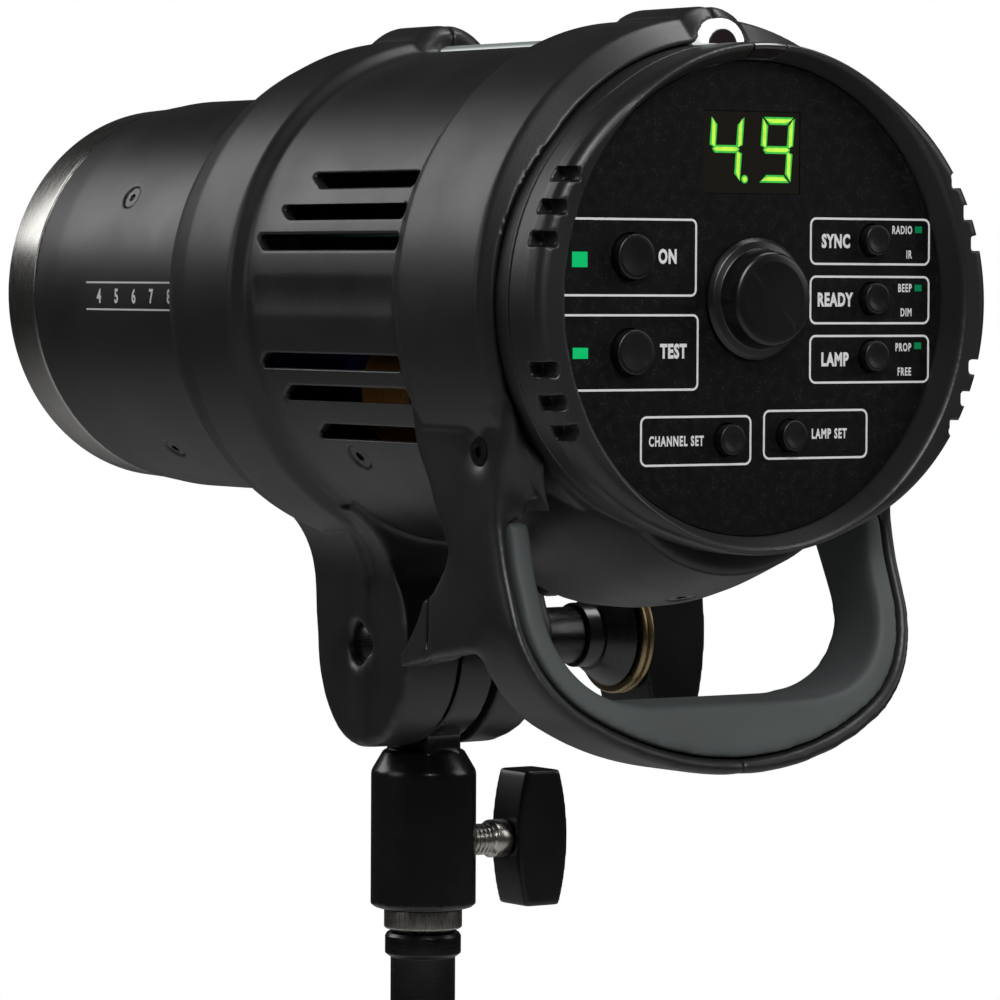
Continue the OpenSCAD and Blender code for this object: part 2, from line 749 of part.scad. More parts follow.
// ---------- inside ----------
module power_board() {
  color([0.05, 0.28, 0.14]) difference() {
    translate([-42, rear_y + 62, axis_z + 14]) cube([84, 88, 1.6]);
    for (x = [-38, 38], d = [66, 146]) translate([x, rear_y + d, axis_z]) cylinder(r = 1.6, h = 30);
  }
}
module capacitors() {
  color([0.1, 0.12, 0.3]) for (x = [-19, 19]) difference() {
    axial_at(x, -14, 115.5) cylinder(r = 17.5, h = 50);
    axial_at(x, -14, 114) cylinder(r = 14, h = 2.3);
  }
}
module charge_coil() {
  color([0.78, 0.42, 0.14]) difference() {
    axial_at(-30, -22, 76) cylinder(r = 15, h = 20);
    axial_at(-30, -22, 70) cylinder(r = 6.5, h = 40);
  }
}
module fan_frame() {
  color(trim_black) difference() {
    axial(168) translate([-30, -30, 0]) cube([60, 60, 15]);
    axial(167) difference() {
      cylinder(r = 28, h = 18);
      cylinder(r = 12, h = 3.2);
    }
    axial(167.5) cylinder(r = 12, h = 1);
    for (x = [-25, 25], z = [-25, 25]) axial_at(x, z, 160) cylinder(r = 2.1, h = 30);
  }
  color(trim_black) axial(168.5) {
    cylinder(r = 12, h = 1.7);
    for (a = [45 : 90 : 315]) rotate([0, 0, a]) translate([11, -1.5, 0]) cube([17.6, 3, 1.7]);
  }
}
module fan_rotor() {
  color([0.08, 0.08, 0.085]) axial(170.6) union() {
    cylinder(r = 11.5, h = 11);
    for (a = [0 : 360 / 7 : 359]) rotate([0, 0, a]) translate([10, 0, 1]) rotate([32, 0, 0])
      translate([0, -0.6, 0]) cube([16.8, 1.2, 10]);
  }
}

// ---------- connector side, on the right ----------
con_x = 45.5;                    // sockets' faces, from the middle
con = [64, 118, -38, -6];        // rear end, forward end, lowest and highest
con_c = [82, -26.5];             // centre of the mains inlet
con_row = -11.8;                 // height of the row of small sockets
rocker = [106.7, -26.5];         // centre of the power rocker
module connector_area(c) {
  translate([con[0] + c, con[2] + c]) square([con[1] - con[0] - 2 * c,
    con[3] - con[2] - 2 * c]);
}
module connector_room() {
  from_side(con_x - 16, 80) connector_area(0);
}
module connector_plate() {
  color(trim_black) {
    difference() {
      union() {
        from_side(con_x - 3, con_x - 0.5) connector_area(0.2);
        // side walls out to the drum's surface
        intersection() {
          from_side(con_x - 3, 62) difference() {
            connector_area(0.2);
            connector_area(1.6);
          }
          axial() cylinder(r = drum_r - 0.3, h = 150);
        }
        // cheeks that carry the rocker's pins
        from_side(con_x - 8, con_x - 2.9) translate([rocker[0] - 8.4, rocker[1] - 10])
          square([16.8, 20]);
      }
      from_side(30, 60) {
        translate([con_c[0] - 14, con_c[1] - 10.5]) square([28, 21]);
        translate([rocker[0] - 6.7, rocker[1] - 9.7]) square([13.4, 19.4]);
        for (d = [72, 84]) translate([d, con_row]) circle(3.3);
        translate([91, con_row - 2.3]) square([9, 4.6]);
        translate([109, con_row]) circle(3.8);
      }
      translate([con_x - 4.6, rear_y + rocker[0] - 20, axis_z + rocker[1]])
        rotate([-90, 0, 0]) cylinder(r = 1.45, h = 40);
    }
  }
}
module mains_inlet() {
  color(trim_black) difference() {
    from_side(con_x - 27, con_x - 0.3) translate(con_c) rounded_rect(27.6, 20.6, 2);
    // cavity for the mains connector
    from_side(con_x - 20, con_x + 1) translate(con_c) rounded_rect(24.4, 16.6, 2);
  }
}
module inlet_pins() {
  color([0.75, 0.7, 0.55]) for (p = [[-7, -2], [0, 2], [7, -2]])
    from_side(con_x - 20, con_x - 5) translate([con_c[0] + p[0], con_c[1] + p[1]])
      square([2, 4], center = true);
}
module power_rocker() {
  // rocker pressed in at its lower end, pivoting on a line along Y
  color(trim_black)
  translate([con_x - 4.6, rear_y + rocker[0], axis_z + rocker[1]]) rotate([0, 8, 0]) {
    difference() {
      translate([-4, -6.4, -8.9]) cube([9, 12.8, 17.8]);
      translate([21, 0, 0]) rotate([90, 0, 0]) cylinder(r = 18, h = 30, center = true);
    }
    rotate([90, 0, 0]) cylinder(r = 1.4, h = 16.4, center = true);
  }
}
module sync_sockets() {
  color([0.75, 0.72, 0.6]) for (d = [72, 84]) difference() {
    union() {
      from_side(con_x - 14, con_x) translate([d, con_row]) circle(3.2);
      from_side(con_x - 0.4, con_x + 0.6) translate([d, con_row]) circle(3.8);
    }
    from_side(con_x - 13, con_x + 5) translate([d, con_row]) circle(1.8);
  }
}
module data_port() {
  color(steel) difference() {
    from_side(con_x - 14, con_x) translate([91.1, con_row - 2.2]) square([8.8, 4.4]);
    from_side(con_x - 10, con_x + 5) translate([91.6, con_row - 1.7]) square([7.8, 3.4]);
  }
}
module fuse_cap() {
  color(trim_black) difference() {
    union() {
      from_side(con_x - 20, con_x) translate([109, con_row]) circle(3.7);
      from_side(con_x - 0.4, con_x + 2) translate([109, con_row]) circle(3.8);
    }
    from_side(con_x + 1, con_x + 4) translate([109, con_row])
      square([7, 1.2], center = true);
  }
}

stand_adapter();
socket_bush();
clamp_tip();
clamp_screw();
clamp_knob();
left_housing();
right_housing();
left_handle_frame();
right_handle_frame();
handle_grip();
rear_cover();
panel_bezel();
control_panel();
display_module();
status_leds();
infrared_window();
sensor_light_bar();
sensor_core();
barrel();
front_ring();
front_glass();
reflector_dish();
flash_tube();
modelling_lamp();
lamp_socket();
lamp_carrier();
barrel_screws();
housing_screws();
tilt_axle();
tilt_friction_discs();
tilt_washer();
tilt_knob();
tilt_knob_ring();
umbrella_tube();
umbrella_lock_tip();
umbrella_lock_screw();
dial();
dial_shaft();
dial_encoder();
on_button();
test_button();
slave_button();
ready_button();
model_button();
channel_button();
lamp_set_button();
panel_board();
power_board();
capacitors();
charge_coil();
fan_frame();
fan_rotor();
connector_plate();
mains_inlet();
inlet_pins();
power_rocker();
sync_sockets();
data_port();
fuse_cap();
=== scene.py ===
import bpy, bmesh, json, math
import numpy as np
from mathutils import Matrix, Vector


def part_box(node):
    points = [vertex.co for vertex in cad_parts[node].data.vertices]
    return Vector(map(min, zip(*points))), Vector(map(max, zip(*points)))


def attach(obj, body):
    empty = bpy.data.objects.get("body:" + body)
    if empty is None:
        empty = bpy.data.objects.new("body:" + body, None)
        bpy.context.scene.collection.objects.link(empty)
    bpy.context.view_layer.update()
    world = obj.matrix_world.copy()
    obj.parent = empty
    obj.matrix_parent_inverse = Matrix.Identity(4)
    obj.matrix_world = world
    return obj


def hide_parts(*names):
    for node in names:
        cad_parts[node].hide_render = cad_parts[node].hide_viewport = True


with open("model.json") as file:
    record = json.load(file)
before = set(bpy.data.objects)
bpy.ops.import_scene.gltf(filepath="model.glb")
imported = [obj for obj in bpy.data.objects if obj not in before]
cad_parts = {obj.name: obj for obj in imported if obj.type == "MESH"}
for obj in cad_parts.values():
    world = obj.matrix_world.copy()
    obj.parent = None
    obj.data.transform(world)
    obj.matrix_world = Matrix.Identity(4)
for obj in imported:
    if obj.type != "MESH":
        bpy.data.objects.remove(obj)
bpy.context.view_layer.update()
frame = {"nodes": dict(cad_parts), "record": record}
NODES = frame["nodes"]
BODY = {n: b for b, ns in frame["record"]["behaviour"]["bodies"].items() for n in ns}

# millimetres from the socket's mouth, and one millimetre in the frame's metres
MM = 0.001
AXIS_Z = 156.0  # optical axis
REAR_Y = -136.6  # plane of the panel's rim
TILT_Z = 71.0  # tilt axle
BARREL_R = 50.0
# distances of the two printed faces ahead of the rim
PANEL_FACE = 3.0
DISPLAY_FACE = 3.2

# ---------- camera and lights ----------
CAMERA_AT = (-0.73184, -1.09832, 0.160)
CAMERA_TURN = (34.48, -2.35, 0.28)  # yaw, pitch and roll in degrees
CAMERA_LENS = 193.08
# how strongly the white surroundings light the object, and how bright the camera sees them
WORLD_LIGHT = 0.02
WORLD_SEEN = 1.0


def camera():
    yaw, pitch, roll = (math.radians(a) for a in CAMERA_TURN)
    d = Vector((math.sin(yaw) * math.cos(pitch), math.cos(yaw) * math.cos(pitch), math.sin(pitch)))
    r = Vector((math.cos(yaw), -math.sin(yaw), 0))
    u = r.cross(d)
    r2 = r * math.cos(roll) + u * math.sin(roll)
    u2 = -r * math.sin(roll) + u * math.cos(roll)
    m = Matrix((r2, u2, -d)).transposed().to_4x4()
    m.translation = Vector(CAMERA_AT)
    cam = bpy.data.objects.new("camera", bpy.data.cameras.new("camera"))
    cam.data.sensor_width = 36
    cam.data.lens = CAMERA_LENS
    cam.data.clip_start = 0.02
    cam.data.clip_end = 60
    cam.matrix_world = m
    bpy.context.scene.collection.objects.link(cam)
    bpy.context.scene.camera = cam


def area(name, at, look, size, power):
    data = bpy.data.lights.new(name, "AREA")
    data.energy = power
    data.size = size
    o = bpy.data.objects.new(name, data)
    o.location = at
    o.rotation_mode = "QUATERNION"
    o.rotation_quaternion = (Vector(look) - Vector(at)).to_track_quat("-Z", "Y")
    bpy.context.scene.collection.objects.link(o)


def studio():
    scene = bpy.context.scene
    scene.view_settings.view_transform = "Standard"
    world = bpy.data.worlds.new("studio")
    scene.world = world
    world.use_nodes = True
    nt = world.node_tree
    nt.nodes.clear()
    out = nt.nodes.new("ShaderNodeOutputWorld")
    mix = nt.nodes.new("ShaderNodeMixShader")
    soft = nt.nodes.new("ShaderNodeBackground")
    soft.inputs["Color"].default_value = (1, 1, 1, 1)
    soft.inputs["Strength"].default_value = WORLD_LIGHT
    seen = nt.nodes.new("ShaderNodeBackground")
    seen.inputs["Color"].default_value = (1, 1, 1, 1)
    seen.inputs["Strength"].default_value = WORLD_SEEN
    path = nt.nodes.new("ShaderNodeLightPath")
    nt.links.new(path.outputs["Is Camera Ray"], mix.inputs[0])
    nt.links.new(soft.outputs[0], mix.inputs[1])
    nt.links.new(seen.outputs[0], mix.inputs[2])
    nt.links.new(mix.outputs[0], out.inputs[0])
    area("key", (-0.75, 1.3, 0.95), (0, 0.02, 0.15), 0.9, 8)
    area("side", (-1.5, 0.3, 0.65), (0, 0, 0.14), 0.7, 2.2)
    area("front", (-0.35, -1.45, 1.15), (0, -0.02, 0.13), 0.7, 20)
    area("over", (0.55, -0.15, 1.25), (0, -0.1, 0.2), 0.5, 6)
    area("fill", (1.4, -0.8, 0.75), (0.03, -0.02, 0.13), 0.8, 4)


# ---------- materials ----------
MATERIALS = {}


def start(name):
    m = bpy.data.materials.new(name)
    m.use_nodes = True
    nt = m.node_tree
    nt.nodes.clear()
    out = nt.nodes.new("ShaderNodeOutputMaterial")
    bsdf = nt.nodes.new("ShaderNodeBsdfPrincipled")
    nt.links.new(bsdf.outputs[0], out.inputs[0])
    coord = nt.nodes.new("ShaderNodeTexCoord")
    MATERIALS[name] = m
    return nt, bsdf, coord


def noise(nt, coord, scale, detail=2.0, stretch=None):
    n = nt.nodes.new("ShaderNodeTexNoise")
    n.inputs["Scale"].default_value = scale
    n.inputs["Detail"].default_value = detail
    if stretch:
        mp = nt.nodes.new("ShaderNodeMapping")
        mp.inputs["Scale"].default_value = stretch
        nt.links.new(coord.outputs["Object"], mp.inputs["Vector"])
        nt.links.new(mp.outputs["Vector"], n.inputs["Vector"])
    else:
        nt.links.new(coord.outputs["Object"], n.inputs["Vector"])
    return n


def span(nt, value, lo, hi, to_lo, to_hi):
    r = nt.nodes.new("ShaderNodeMapRange")
    r.inputs["From Min"].default_value = lo
    r.inputs["From Max"].default_value = hi
    r.inputs["To Min"].default_value = to_lo
    r.inputs["To Max"].default_value = to_hi
    nt.links.new(value, r.inputs["Value"])
    return r.outputs["Result"]


def two_tone(nt, fac, a, b):
    m = nt.nodes.new("ShaderNodeMix")
    m.data_type = "RGBA"
    m.inputs["A"].default_value = (*a, 1)
    m.inputs["B"].default_value = (*b, 1)
    nt.links.new(fac, m.inputs["Factor"])
    return m.outputs["Result"]


def bumped(nt, bsdf, height, strength, distance):
    b = nt.nodes.new("ShaderNodeBump")
    b.inputs["Strength"].default_value = strength
    b.inputs["Distance"].default_value = distance
    nt.links.new(height, b.inputs["Height"])
    nt.links.new(b.outputs["Normal"], bsdf.inputs["Normal"])


def place_of(nt, coord):
    """the shaded point's place in the frame, one output for each axis"""
    xyz = nt.nodes.new("ShaderNodeSeparateXYZ")
    nt.links.new(coord.outputs["Object"], xyz.inputs[0])
    return xyz.outputs


def combined(nt, operation, a, b):
    n = nt.nodes.new("ShaderNodeMath")
    n.operation = operation
    nt.links.new(a, n.inputs[0])
    nt.links.new(b, n.inputs[1])
    return n.outputs[0]


def plastic(name, colour, rough, grain=2200.0, bump=0.25, vary=0.12, spec=0.5, edge=0.35):
    """moulded plastic: fine spark-eroded grain, slow changes of sheen, convex edges paler"""
    nt, bsdf, coord = start(name)
    fine = noise(nt, coord, grain, 3.0)
    slow = noise(nt, coord, 38.0, 4.0)
    dark = tuple(c * (1 - vary) for c in colour)
    lite = tuple(c * (1 + vary) for c in colour)
    base = two_tone(nt, span(nt, slow.outputs["Fac"], 0.3, 0.7, 0.0, 1.0), dark, lite)
    # convex edges, found by pointiness, are made paler by the share edge
    geo = nt.nodes.new("ShaderNodeNewGeometry")
    paler_edge = nt.nodes.new("ShaderNodeMix")
    paler_edge.data_type = "RGBA"
    paler_edge.inputs["B"].default_value = (*[min(1, c * (1 + edge) + 0.004) for c in colour], 1)
    nt.links.new(base, paler_edge.inputs["A"])
    nt.links.new(span(nt, geo.outputs["Pointiness"], 0.52, 0.6, 0.0, 1.0), paler_edge.inputs["Factor"])
    nt.links.new(paler_edge.outputs["Result"], bsdf.inputs["Base Color"])
    nt.links.new(span(nt, slow.outputs["Fac"], 0.3, 0.7, rough - 0.05, rough + 0.05),
                 bsdf.inputs["Roughness"])
    bsdf.inputs["Specular IOR Level"].default_value = spec
    bumped(nt, bsdf, fine.outputs["Fac"], bump, 0.00006)


def metal(name, colour, rough, stretch=(1, 1, 1), scale=900.0, bump=0.15, metallic=1.0):
    """brushed or turned metal: fine lines along the tool's path and uneven sheen"""
    nt, bsdf, coord = start(name)
    lines = noise(nt, coord, scale, 3.0, stretch)
    slow = noise(nt, coord, 60.0, 3.0)
    nt.links.new(two_tone(nt, span(nt, slow.outputs["Fac"], 0.3, 0.7, 0, 1),
                          tuple(c * 0.86 for c in colour), colour), bsdf.inputs["Base Color"])
    nt.links.new(span(nt, lines.outputs["Fac"], 0.3, 0.7, rough - 0.07, rough + 0.07),
                 bsdf.inputs["Roughness"])
    bsdf.inputs["Metallic"].default_value = metallic
    bumped(nt, bsdf, lines.outputs["Fac"], bump, 0.00003)


def lit(name, colour, strength):
    """part that gives light: small cells of uneven brightness over a near-black base"""
    rough = 0.3
    nt, bsdf, coord = start(name)
    cells = noise(nt, coord, 700.0, 2.0)
    nt.links.new(two_tone(nt, span(nt, cells.outputs["Fac"], 0.35, 0.65, 0, 1),
                          tuple(c * 0.85 for c in colour), colour), bsdf.inputs["Emission Color"])
    bsdf.inputs["Emission Strength"].default_value = strength
    bsdf.inputs["Base Color"].default_value = (0.02, 0.02, 0.02, 1)
    nt.links.new(span(nt, cells.outputs["Fac"], 0.3, 0.7, rough - 0.05, rough + 0.05),
                 bsdf.inputs["Roughness"])


def light_bar():
    """clear bar with a white ring at its end, with a painted glow: the bar gives no light of its
    own, yet it glows white at the ring and along its sides; the glow and the colour darken along
    its crest and towards the front
    """
    nt, bsdf, coord = start("light_bar")
    at = place_of(nt, coord)
    crest = span(nt, at["Z"], 0.2149, 0.2161, 0.0, 1.0)
    ahead_of_ring = span(nt, at["Y"], -0.118, -0.114, 0.0, 1.0)
    towards_front = span(nt, at["Y"], -0.03, 0.01, 0.12, 0.8)
    dark = combined(nt, "MAXIMUM", crest, towards_front)
    dark = combined(nt, "MULTIPLY", dark, ahead_of_ring)
    cells = noise(nt, coord, 400.0, 2.0)
    # painted light: the emission paints a white glow at the ring and along the sides, dimmed where
    # dark is high
    nt.links.new(two_tone(nt, dark, (0.93, 0.97, 0.96), (0.10, 0.12, 0.115)),
                 bsdf.inputs["Emission Color"])
    bsdf.inputs["Emission Strength"].default_value = 0.72
    nt.links.new(two_tone(nt, dark, (0.8, 0.82, 0.82), (0.2, 0.22, 0.21)),
                 bsdf.inputs["Base Color"])
    nt.links.new(span(nt, cells.outputs["Fac"], 0.3, 0.7, 0.2, 0.3), bsdf.inputs["Roughness"])


def lamp_green():
    """status lamps: the two large ones bright, the small ones dim"""
    nt, bsdf, coord = start("led_green")
    side = span(nt, place_of(nt, coord)["X"], -0.01, 0.01, 0.0, 1.0)
    cells = noise(nt, coord, 700.0, 2.0)
    nt.links.new(two_tone(nt, side, (0.0, 0.56, 0.15), (0.0, 0.17, 0.055)),
                 bsdf.inputs["Emission Color"])
    bsdf.inputs["Emission Strength"].default_value = 0.8
    bsdf.inputs["Base Color"].default_value = (0.0, 0.05, 0.02, 1)
    nt.links.new(span(nt, cells.outputs["Fac"], 0.3, 0.7, 0.3, 0.4), bsdf.inputs["Roughness"])


def glassy(name, colour, rough, transmission, ior=1.47, frost=0.0):
    """clear or frosted glass with a faint unevenness"""
    nt, bsdf, coord = start(name)
    n = noise(nt, coord, 1500.0, 2.0)
    slow = noise(nt, coord, 50.0, 2.0)
    nt.links.new(two_tone(nt, slow.outputs["Fac"], tuple(c * 0.95 for c in colour), colour),
                 bsdf.inputs["Base Color"])
    nt.links.new(span(nt, slow.outputs["Fac"], 0.3, 0.7, max(0.0, rough - 0.03), rough + 0.03),
                 bsdf.inputs["Roughness"])
    bsdf.inputs["Transmission Weight"].default_value = transmission
    bsdf.inputs["IOR"].default_value = ior
    bumped(nt, bsdf, n.outputs["Fac"], frost, 0.00004)


def speckled_panel():
    """printed polyester film: black with a fine pale speckle and a faint orange-peel"""
    nt, bsdf, coord = start("panel_film")
    v = nt.nodes.new("ShaderNodeTexVoronoi")
    v.inputs["Scale"].default_value = 1500.0
    nt.links.new(coord.outputs["Object"], v.inputs["Vector"])
    n = noise(nt, coord, 420.0, 2.0)
    speck = combined(nt, "MULTIPLY", span(nt, v.outputs["Distance"], 0.05, 0.42, 1.0, 0.0),
                     span(nt, n.outputs["Fac"], 0.42, 0.62, 0.0, 1.0))
    nt.links.new(two_tone(nt, speck, (0.0022, 0.0022, 0.0026), (0.022, 0.022, 0.024)),
                 bsdf.inputs["Base Color"])
    nt.links.new(span(nt, n.outputs["Fac"], 0.3, 0.7, 0.42, 0.52), bsdf.inputs["Roughness"])
    bsdf.inputs["Specular IOR Level"].default_value = 0.22
    bumped(nt, bsdf, n.outputs["Fac"], 0.12, 0.00005)


WAVE_SCALE = 0.314  # wave texture's scale for one band in each unit of length


def wound(name, colour, pitch):
    """enamelled wire: bands of turns around the coil"""
    nt, bsdf, coord = start(name)
    w = nt.nodes.new("ShaderNodeTexWave")
    w.bands_direction = "Y"
    w.inputs["Scale"].default_value = 1 / pitch * WAVE_SCALE
    w.inputs["Distortion"].default_value = 0.6
    w.inputs["Detail"].default_value = 1.0
    nt.links.new(coord.outputs["Object"], w.inputs["Vector"])
    nt.links.new(two_tone(nt, w.outputs["Fac"], tuple(c * 0.35 for c in colour), colour),
                 bsdf.inputs["Base Color"])
    bsdf.inputs["Metallic"].default_value = 0.7
    nt.links.new(span(nt, w.outputs["Fac"], 0, 1, 0.5, 0.3), bsdf.inputs["Roughness"])
    bumped(nt, bsdf, w.outputs["Fac"], 0.8, 0.0003)


def circuit(name, colour):
    """coated laminate with pale tracks"""
    nt, bsdf, coord = start(name)
    b = nt.nodes.new("ShaderNodeTexBrick")
    b.inputs["Scale"].default_value = 240.0
    b.inputs["Mortar Size"].default_value = 0.03
    nt.links.new(coord.outputs["Object"], b.inputs["Vector"])
    nt.links.new(two_tone(nt, b.outputs["Fac"], colour, tuple(c * 1.9 + 0.02 for c in colour)),
                 bsdf.inputs["Base Color"])
    n = noise(nt, coord, 300.0)
    nt.links.new(span(nt, n.outputs["Fac"], 0.3, 0.7, 0.3, 0.42), bsdf.inputs["Roughness"])
    bumped(nt, bsdf, b.outputs["Fac"], 0.3, 0.00004)


def materials():
    plastic("body_black", (0.0125, 0.0127, 0.0135), 0.40, 2600, 0.42, 0.10, 0.5)
    plastic("trim_black", (0.0055, 0.0055, 0.006), 0.32, 3200, 0.14, 0.10, 0.5)
    plastic("button_black", (0.004, 0.004, 0.0043), 0.36, 2600, 0.2, 0.10, 0.5)
    plastic("painted_black", (0.0085, 0.0085, 0.009), 0.27, 1500, 0.22, 0.08, 0.5, 0.8)
    plastic("soft_grip", (0.070, 0.079, 0.078), 0.62, 1500, 0.6, 0.10, 0.4, 0.2)
    plastic("inside_black", (0.006, 0.006, 0.006), 0.6, 1800, 0.3, 0.1, 0.3)
    metal("satin_metal", (0.33, 0.33, 0.31), 0.30, (0.25, 6, 0.25), 700, 0.25)
    metal("turned_ring", (0.42, 0.41, 0.39), 0.24, (0.3, 9, 0.3), 700, 0.25)
    metal("dark_satin", (0.07, 0.07, 0.068), 0.33, (6, 0.3, 0.3), 700, 0.2)
    metal("steel", (0.52, 0.50, 0.46), 0.28, (6, 0.4, 0.4), 800, 0.25)
    metal("post_steel", (0.055, 0.055, 0.056), 0.30, (0.4, 0.4, 5), 600, 0.2)
    metal("black_steel", (0.06, 0.06, 0.062), 0.32, (1, 1, 1), 900, 0.2)
    metal("gilt_ring", (0.30, 0.235, 0.13), 0.33, (1, 1, 1), 700, 0.2)
    metal("brass", (0.58, 0.42, 0.17), 0.3, (1, 1, 1), 700, 0.25)
    metal("contact", (0.62, 0.58, 0.42), 0.25, (1, 1, 1), 700, 0.2)
    metal("reflector", (0.8, 0.8, 0.78), 0.16, (0.5, 5, 0.5), 400, 0.3)
    speckled_panel()
    plastic("display_window", (0.0105, 0.0085, 0.006), 0.12, 900, 0.03, 0.1, 0.5, 0.0)
    lit("segments_lit", (0.58, 1.0, 0.07), 1.0)
    lit("segments_edge", (0.045, 0.62, 0.06), 0.9)
    lamp_green()
    light_bar()
    plastic("ink_white", (0.78, 0.79, 0.78), 0.5, 1200, 0.1, 0.06, 0.4, 0.0)
    plastic("dark_window", (0.02, 0.012, 0.014), 0.14, 900, 0.03, 0.1, 0.6, 0.0)
    glassy("glass", (0.93, 0.95, 0.95), 0.35, 0.85, 1.47, 0.8)
    glassy("tube_glass", (0.92, 0.95, 0.97), 0.04, 0.9)
    glassy("lamp_glass", (0.97, 0.94, 0.86), 0.25, 0.7, 1.45, 0.5)
    plastic("ceramic", (0.66, 0.63, 0.55), 0.4, 700, 0.3, 0.08, 0.5, 0.1)
    circuit("board", (0.01, 0.07, 0.03))
    plastic("sleeve", (0.02, 0.03, 0.12), 0.3, 500, 0.15, 0.15, 0.5, 0.2)
    wound("copper", (0.70, 0.33, 0.08), 0.0006)
    plastic("friction", (0.10, 0.055, 0.03), 0.75, 800, 0.9, 0.25, 0.3)


def finish_slot(o, material):
    o.data.materials.clear()
    o.data.materials.append(MATERIALS[material])


# ---------- mesh helpers ----------
def object_from(name, co, faces, smooth=True):
    me = bpy.data.meshes.new(name)
    me.from_pydata([tuple(c) for c in co], [], faces)
    me.update()
    if smooth:
        me.shade_smooth()
    o = bpy.data.objects.new(name, me)
    bpy.context.scene.collection.objects.link(o)
    return o


def place(o, node, material, body=None):
    """the object takes the CAD node's part and moves with its body"""
    finish_slot(o, material)
    if node:
        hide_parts(node)
    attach(o, body or BODY[node])


def remeshed(node, voxel):
    """mesh of the node's surface, rebuilt as an even fine grid"""
    bm = bmesh.new()
    bm.from_mesh(NODES[node].data)
    bmesh.ops.remove_doubles(bm, verts=bm.verts, dist=2e-6)
    me = bpy.data.meshes.new("tmp")
    bm.to_mesh(me)
    bm.free()
    o = bpy.data.objects.new("tmp", me)
    bpy.context.scene.collection.objects.link(o)
    mod = o.modifiers.new("grid", "REMESH")
    mod.mode = "VOXEL"
    mod.voxel_size = voxel * MM
    mod.adaptivity = 0
    dg = bpy.context.evaluated_depsgraph_get()
    out = bpy.data.meshes.new_from_object(o.evaluated_get(dg))
    bpy.data.objects.remove(o)
    bpy.data.meshes.remove(me)
    return out


def coords(me):
    """the mesh's vertices as an array in millimetres"""
    co = np.empty(len(me.vertices) * 3, np.float32)
    me.vertices.foreach_get("co", co)
    return co.reshape(-1, 3).astype(float) / MM


def relax(co, edges, passes, pull, cut, grid):
    """passes: how many rounds of averaging each vertex gets, each a share pull of the way. cut: x
    of a flat joint face, whose rim is averaged as if the surface went on beyond it"""
    n = len(co)
    src = np.concatenate([edges[:, 0], edges[:, 1]])
    dst = np.concatenate([edges[:, 1], edges[:, 0]])
    flat = np.zeros(n, bool)
    if cut is not None:
        flat = np.abs(co[:, 0] - cut) < 0.4 * grid
        outside = np.bincount(dst, (~flat[src]).astype(float), n) > 0
        rim = flat & outside
        keep = ~(rim[dst] & flat[src] & ~rim[src])
        src, dst = src[keep], dst[keep]
    deg = np.maximum(np.bincount(dst, minlength=n), 1)[:, None]
    top = int(np.ceil(np.max(passes)))
    for i in range(top):
        w = np.clip(passes - i, 0, 1)[:, None] * pull
        acc = np.stack([np.bincount(dst, co[src, k], n) for k in range(3)], 1) / deg
        move = (acc - co) * w
        move[flat, 0] = 0
        co = co + move
    return co


def blurred(profile, sigma):
    """radius as a function of distance, from turned points, with its corners rounded"""
    d = np.array([p[1] for p in profile], float)
    r = np.array([p[0] for p in profile], float)
    k = np.argsort(d)
    every = 0.1
    g = np.arange(d.min() - 4 * sigma, d.max() + 4 * sigma, every)
    v = np.interp(g, d[k], r[k])
    t = np.arange(-3 * sigma, 3 * sigma + every / 2, every)
    w = np.exp(-t * t / (2 * sigma * sigma))
    w /= w.sum()
    s = np.convolve(np.pad(v, len(t) // 2, mode="edge"), w, "valid")[: len(g)]
    return g, s


def nearness(off, tol):
    """1 well inside the tolerance, fading to 0 at it"""
    return np.clip((tol - off) / (tol * 0.4), 0, 1)


def snap(co, profile, sigma, tol, centre=(0.0, 0.0), axis="Y", lo=None, hi=None):
    """vertices close to a turned surface go exactly onto it, so its facets disappear"""
    if axis == "Y":
        u, v, s = co[:, 0] - centre[0], co[:, 2] - AXIS_Z - centre[1], co[:, 1] - REAR_Y
    elif axis == "Z":
        u, v, s = co[:, 0] - centre[0], co[:, 1] - centre[1], co[:, 2]
    else:
        u, v, s = co[:, 1] - centre[0], co[:, 2] - centre[1], co[:, 0]
    g, target = blurred(profile, sigma)
    r = np.hypot(u, v)
    want = np.interp(s, g, target)
    lo = min(p[1] for p in profile) if lo is None else lo
    hi = max(p[1] for p in profile) if hi is None else hi
    w = nearness(np.abs(r - want), tol) * (s > lo) * (s < hi)
    k = 1 + w * (want / np.maximum(r, 1e-6) - 1)
    out = co.copy()
    cols = {"Y": (0, 2), "Z": (0, 1), "X": (1, 2)}[axis]
    base = {"Y": (centre[0], AXIS_Z + centre[1]), "Z": centre, "X": centre}[axis]
    out[:, cols[0]] = base[0] + u * k
    out[:, cols[1]] = base[1] + v * k
    return out


def snap_oval(co, base, lobe, cx, cz, sigma, tol, lo=None):
    """as snap, for an outline of one middle circle and two side lobes, blended where they meet"""
    soft = 0.6
    u, v, s = co[:, 0], co[:, 2] - AXIS_Z, co[:, 1] - REAR_Y
    r = np.maximum(np.hypot(u, v), 1e-6)
    g, t = blurred(base, sigma)
    targets = [np.interp(s, g, t)]
    g, t = blurred(lobe, sigma)
    rl = np.interp(s, g, t)
    for sx in (-1, 1):
        dot = (u * sx * cx + v * cz) / r
        targets.append(dot + np.sqrt(np.maximum(dot * dot - cx * cx - cz * cz + rl * rl, 1)))
    top = np.max(targets, 0)
    want = top + soft * np.log(sum(np.exp((q - top) / soft) for q in targets))
    lo = base[0][1] if lo is None else lo
    w = nearness(np.abs(r - want), tol) * (s > lo) * (s < base[-1][1])
    k = 1 + w * (want / r - 1)
    out = co.copy()
    out[:, 0] = u * k
    out[:, 2] = AXIS_Z + v * k
    return out


